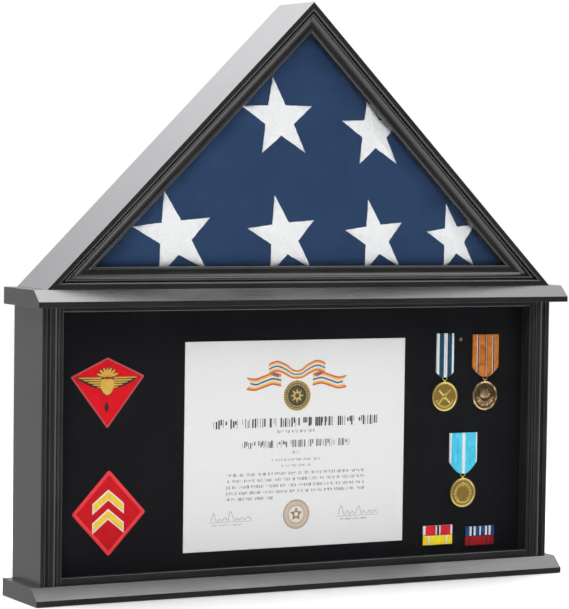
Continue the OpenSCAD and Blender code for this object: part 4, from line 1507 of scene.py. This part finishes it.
def lapel_pin():
    """A small gilt dome on a flat rim."""
    low, high = box("lapel_pin")
    centre = (low + high) / 2
    radius = middle_and_half(low, high)[1]
    dome = [(radius * 0.15, 0), (radius * 0.6, 0.2), (radius * 0.92, 0.65), (radius, 1.1),
            (radius * 0.8, 1.4), (1, 1.4), (1, high.y - low.y)]
    points, faces = ring_lathe(dome, Vector((centre.x, low.y, centre.z)), BACK, RIGHT, 28)
    shape = solid(points, faces, 0, [(0.7, 0.0)] * len(points))
    gilt = worked_metal("pin_gilt", (0.10, 0.07, 0.03), (0.45, 0.34, 0.16), 0.3)
    make("pin", shape, [gilt], "display_door", ["lapel_pin"])


# ---- Screws and turn buttons ----------------------------------------------------------------

def cross_recess(angle):
    """Radius of a cross recess's outline at an angle."""
    near = abs((angle + math.pi / 4) % (math.pi / 2) - math.pi / 4)
    return min(2.0 / math.cos(near), 0.5 / max(math.sin(near), 1e-6))


def cross_bottom(angle):
    """Radius of the recess's bottom at an angle."""
    return cross_recess(angle) * 0.6


# Profiles of the two kinds of head down to the first thread, as (radius, depth).
COUNTERSUNK = [(3.7, 0), (SCREW_HEAD, 0.15), (SCREW_HEAD, 0.45), (2.0, SCREW_SINK), (1.75, SCREW_SINK + 6)]
PAN = [(2.9, 0.08), (3.5, 0.5), (3.8, 1.1), (3.8, 1.8), (2.0, 1.8)]
THREAD_PITCH = 1.6
LONG_SCREW = 43                       # lengths of the base's and the shelf's screws
CASE_SCREW = 29                       # of those in the triangular case's floor
BUTTON_SCREW = 13                     # and of the turn buttons'
HEAD_SUNK = 0.4                       # how far a countersunk head sits below the wood


def screw(shape, centre, axis, head, length):
    """A screw with a cross recess; centre is the middle of its head's top and axis points inward."""
    profile = [(cross_bottom, 1.1), (cross_recess, 0)] + head
    start = head[-1][1]
    for k in range(int((length - start - 4) / THREAD_PITCH)):
        turn = start + THREAD_PITCH * k
        profile += [(1.55, turn + 0.5), (2.0, turn + 0.9), (1.55, turn + 1.3)]
    profile += [(1.5, length - 3), (0.2, length)]
    shape.add(*ring_lathe(profile, centre, axis, RIGHT, 40))


def screws():
    """Countersunk wood screws in three boards, and the turn buttons' pan-head screws."""
    sets = (("base_screws", 2, BASE_LOW.z + HEAD_SUNK, UP, LONG_SCREW),
            ("shelf_screws", 2, SHELF_TOP - HEAD_SUNK, -UP, LONG_SCREW),
            ("case_screws", 3, SHELF_UNDER + HEAD_SUNK, UP, CASE_SCREW))
    for node, count_x, at_z, axis, length in sets:
        shape = Shape()
        for spot in screw_places(node, count_x, at_z):
            screw(shape, spot, axis, COUNTERSUNK, length)
        make(node.replace("_", "_wood_"), shape, [STEEL], "case", [node])
    heads = Shape()
    high = box("button_screws")[1]
    for node in BUTTONS:
        x, z = button_pivot(node)
        screw(heads, Vector((x, high.y, z)), -BACK, PAN, BUTTON_SCREW)
    make("button_pan_screws", heads, [STEEL], "case", ["button_screws"])


BUTTON_HALF = 4.5                     # half width, length and bore of a turn button
BUTTON_L = 26
BUTTON_BORE = 2.08
# The direction of each turn button's arm when open, as degrees about Y.
BUTTONS = {"case_left": -45, "case_right": 45, "case_bottom": 180, "shelf_left": 0,
           "shelf_right": 0, "base_left": 180, "base_right": 180}


def button_arm(node):
    """The direction in which a turn button's arm points when open."""
    a = math.radians(BUTTONS[node])
    return Vector((math.cos(a), 0, -math.sin(a)))


def button_pivot(node):
    """X and Z of a turn button's screw, from the box of the button."""
    low, high = box("button_" + node)
    arm = button_arm(node)
    x = low.x + BUTTON_HALF if arm.x > 0 else high.x - BUTTON_HALF
    z = low.z + BUTTON_HALF if arm.z > 0.1 else high.z - BUTTON_HALF
    return x, z


def turn_buttons():
    """Pressed brass plates that turn on their screws to hold the backs in."""
    for node in BUTTONS:
        low = box("button_" + node)[0]
        x, z = button_pivot(node)
        arm = button_arm(node)
        side = arm.cross(BACK)
        reach = BUTTON_L - BUTTON_HALF
        outline = arc(0, 0, BUTTON_HALF, BUTTON_HALF, 90, 270, 16) \
            + arc(reach, 0, BUTTON_HALF, BUTTON_HALF, -90, 90, 16)
        hole = []
        for u, w in outline:
            a = math.atan2(w, u * 0.35)
            hole.append((BUTTON_BORE * math.cos(a), BUTTON_BORE * math.sin(a)))
        steps = [(0.45, 0, 0), (0.12, 0.12, 0), (0, 0.5, 0), (0, 1.5, 0), (0.45, 2.0, 0), (0.3, 2.0, 1),
                 (0.0, 1.8, 1), (0.0, 0.2, 1), (0.3, 0, 1)]
        rings = []
        for inward, depth, bore in steps:
            flat = inset(hole, -inward) if bore else inset(outline, inward)
            rings.append([Vector((x, low.y + depth, z)) + arm * p[0] + side * p[1] for p in flat])
        make("turn_button_" + node, solid(*closed_loft(rings)), [BRASS], "turn_" + node,
             ["button_" + node])


# ---- Stage ----------------------------------------------------------------------------------

# The photograph's viewing angle, from a fit of the camera to the photograph: degrees, metres and lens.
AZIMUTH = -27.773
ELEVATION = 2.801
ROLL = 0.774
DISTANCE = 3.0088
LENS = 160.64
AIM = Vector((-30.6, FACE_Y, 316.9)) * MM


def camera():
    """The camera at the photograph's viewing angle."""
    azimuth, elevation = math.radians(AZIMUTH), math.radians(ELEVATION)
    back = Vector((math.sin(azimuth) * math.cos(elevation), -math.cos(azimuth) * math.cos(elevation),
                   math.sin(elevation)))
    lens = bpy.data.cameras.new("camera")
    lens.lens = LENS
    lens.sensor_width = 36
    lens.clip_start = 0.1
    lens.clip_end = 200
    eye = bpy.data.objects.new("camera", lens)
    bpy.context.scene.collection.objects.link(eye)
    turned = (-back).to_track_quat("-Z", "Y").to_matrix() @ Matrix.Rotation(math.radians(ROLL), 3, "Z")
    eye.matrix_world = Matrix.Translation(AIM + back * DISTANCE) @ turned.to_4x4()
    bpy.context.scene.camera = eye


def lamp(name, at, towards, size, power):
    """A large soft area light, not seen by the camera itself."""
    light = bpy.data.lights.new(name, "AREA")
    light.shape = "RECTANGLE"
    light.size, light.size_y = size
    light.energy = power
    made = bpy.data.objects.new(name, light)
    bpy.context.scene.collection.objects.link(made)
    at, towards = Vector(at), Vector(towards)
    made.location = at
    made.rotation_mode = "QUATERNION"
    made.rotation_quaternion = (towards - at).to_track_quat("-Z", "Y")
    made.visible_camera = False
    made.visible_glossy = name != "bounce"


def surroundings():
    """A white studio behind, above, below and to the right, dim in front so that the glass stays clear."""
    world = bpy.data.worlds.new("studio")
    bpy.context.scene.world = world
    world.use_nodes = True
    tree = world.node_tree
    tree.nodes.clear()
    parts = tree.nodes.new("ShaderNodeSeparateXYZ")
    tree.links.new(tree.nodes.new("ShaderNodeTexCoord").outputs["Generated"], parts.inputs[0])

    def ramp(direction, start, end, low, high):
        change = tree.nodes.new("ShaderNodeMapRange")
        change.interpolation_type = "SMOOTHSTEP"
        for number, value in enumerate((start, end, low, high), 1):
            change.inputs[number].default_value = value
        tree.links.new(parts.outputs[direction], change.inputs[0])
        return change.outputs[0]

    def join(operation, a, b):
        maths = tree.nodes.new("ShaderNodeMath")
        maths.operation = operation
        tree.links.new(a, maths.inputs[0])
        tree.links.new(b, maths.inputs[1])
        return maths.outputs[0]

    total = ramp("Y", -0.35, 0.75, 0.03, 0.57)
    above = join("MULTIPLY", ramp("Z", 0.6, 0.97, 0.0, 5.4), ramp("Y", -0.17, -0.04, 0.35, 1.25))
    for light in (join("MULTIPLY", above, ramp("X", 0.38, 0.62, 1.0, 0.62)),
                  ramp("Z", -0.2, -0.6, 0.0, 1.4), ramp("X", 0.60, 0.85, 0.0, 1.0),
                  join("MULTIPLY", ramp("Z", 0.28, 0.52, 0.0, 2.6), ramp("Y", 0.2, 0.7, 0.0, 1.0))):
        total = join("ADD", total, light)
    path = tree.nodes.new("ShaderNodeLightPath")
    mix = tree.nodes.new("ShaderNodeMixShader")
    tree.links.new(path.outputs["Is Camera Ray"], mix.inputs[0])
    for number, colour, strength in ((1, (0.985, 0.975, 1, 1), total), (2, (1, 1, 1, 1), None)):
        sky = tree.nodes.new("ShaderNodeBackground")
        sky.inputs["Color"].default_value = colour
        sky.inputs["Strength"].default_value = 1.0
        if strength is not None:
            tree.links.new(strength, sky.inputs["Strength"])
        tree.links.new(sky.outputs[0], mix.inputs[number])
    output = tree.nodes.new("ShaderNodeOutputWorld")
    tree.links.new(mix.outputs[0], output.inputs[0])


def floor():
    """A plain pale floor that fades into the white surroundings."""
    s = Surface("pale_floor", (0.68, 0.68, 0.68), 0.9)
    away = s.node("VectorMath", {0: s.node("TexCoord").outputs["Object"]}, operation="LENGTH").outputs[1]
    fade = s.spread(away, 0, 1, 0.55, 1.5)
    clear = s.node("BsdfTransparent")
    mix = s.node("MixShader", {0: fade, 1: s.shader.outputs[0], 2: clear.outputs[0]})
    output = next(n for n in s.tree.nodes if n.type == "OUTPUT_MATERIAL")
    s.tree.links.new(mix.outputs[0], output.inputs["Surface"])
    rings = [[polar(reach, a).to_3d() for a in turns(64)] for reach in (0.05, 0.8, 1.6)]
    points, faces = loft(rings, (True, False))
    mesh = bpy.data.meshes.new("floor")
    mesh.from_pydata(points, [], faces)
    mesh.materials.append(s.material)
    made = bpy.data.objects.new("floor", mesh)
    made.location.z = -0.0004
    made.visible_glossy = False
    bpy.context.scene.collection.objects.link(made)


def stage():
    """Floor, surroundings, camera and lamps."""
    floor()
    surroundings()
    camera()
    lamp("key", (-1.9, -2.0, 2.3), (0, 0, 0.35), (1.4, 1.4), 40)
    lamp("fill", (1.9, -2.1, 2.2), (0, 0, 0.3), (1.6, 1.2), 14)
    lamp("left_strip", (-1.6, -1.9, 0.5), (-0.3, 0, 0.25), (0.5, 1.5), 3)
    lamp("side_box", (2.3, 0.9, 0.9), (0, 0, 0.35), (1.6, 1.6), 20)
    lamp("bounce", (0.2, -1.5, 0.12), (0, 0, 0.2), (1.8, 0.5), 5)
    scene = bpy.context.scene
    scene.view_settings.view_transform = "Standard"
    scene.view_settings.look = "None"


# ---- Everything -----------------------------------------------------------------------------

wooden_box()
triangular_case()
glazing()
folded_flag()
stars()
boards()
certificate()
patches()
medal_ribbons()
pendants()
ribbon_bars()
lapel_pin()
screws()
turn_buttons()
stage()
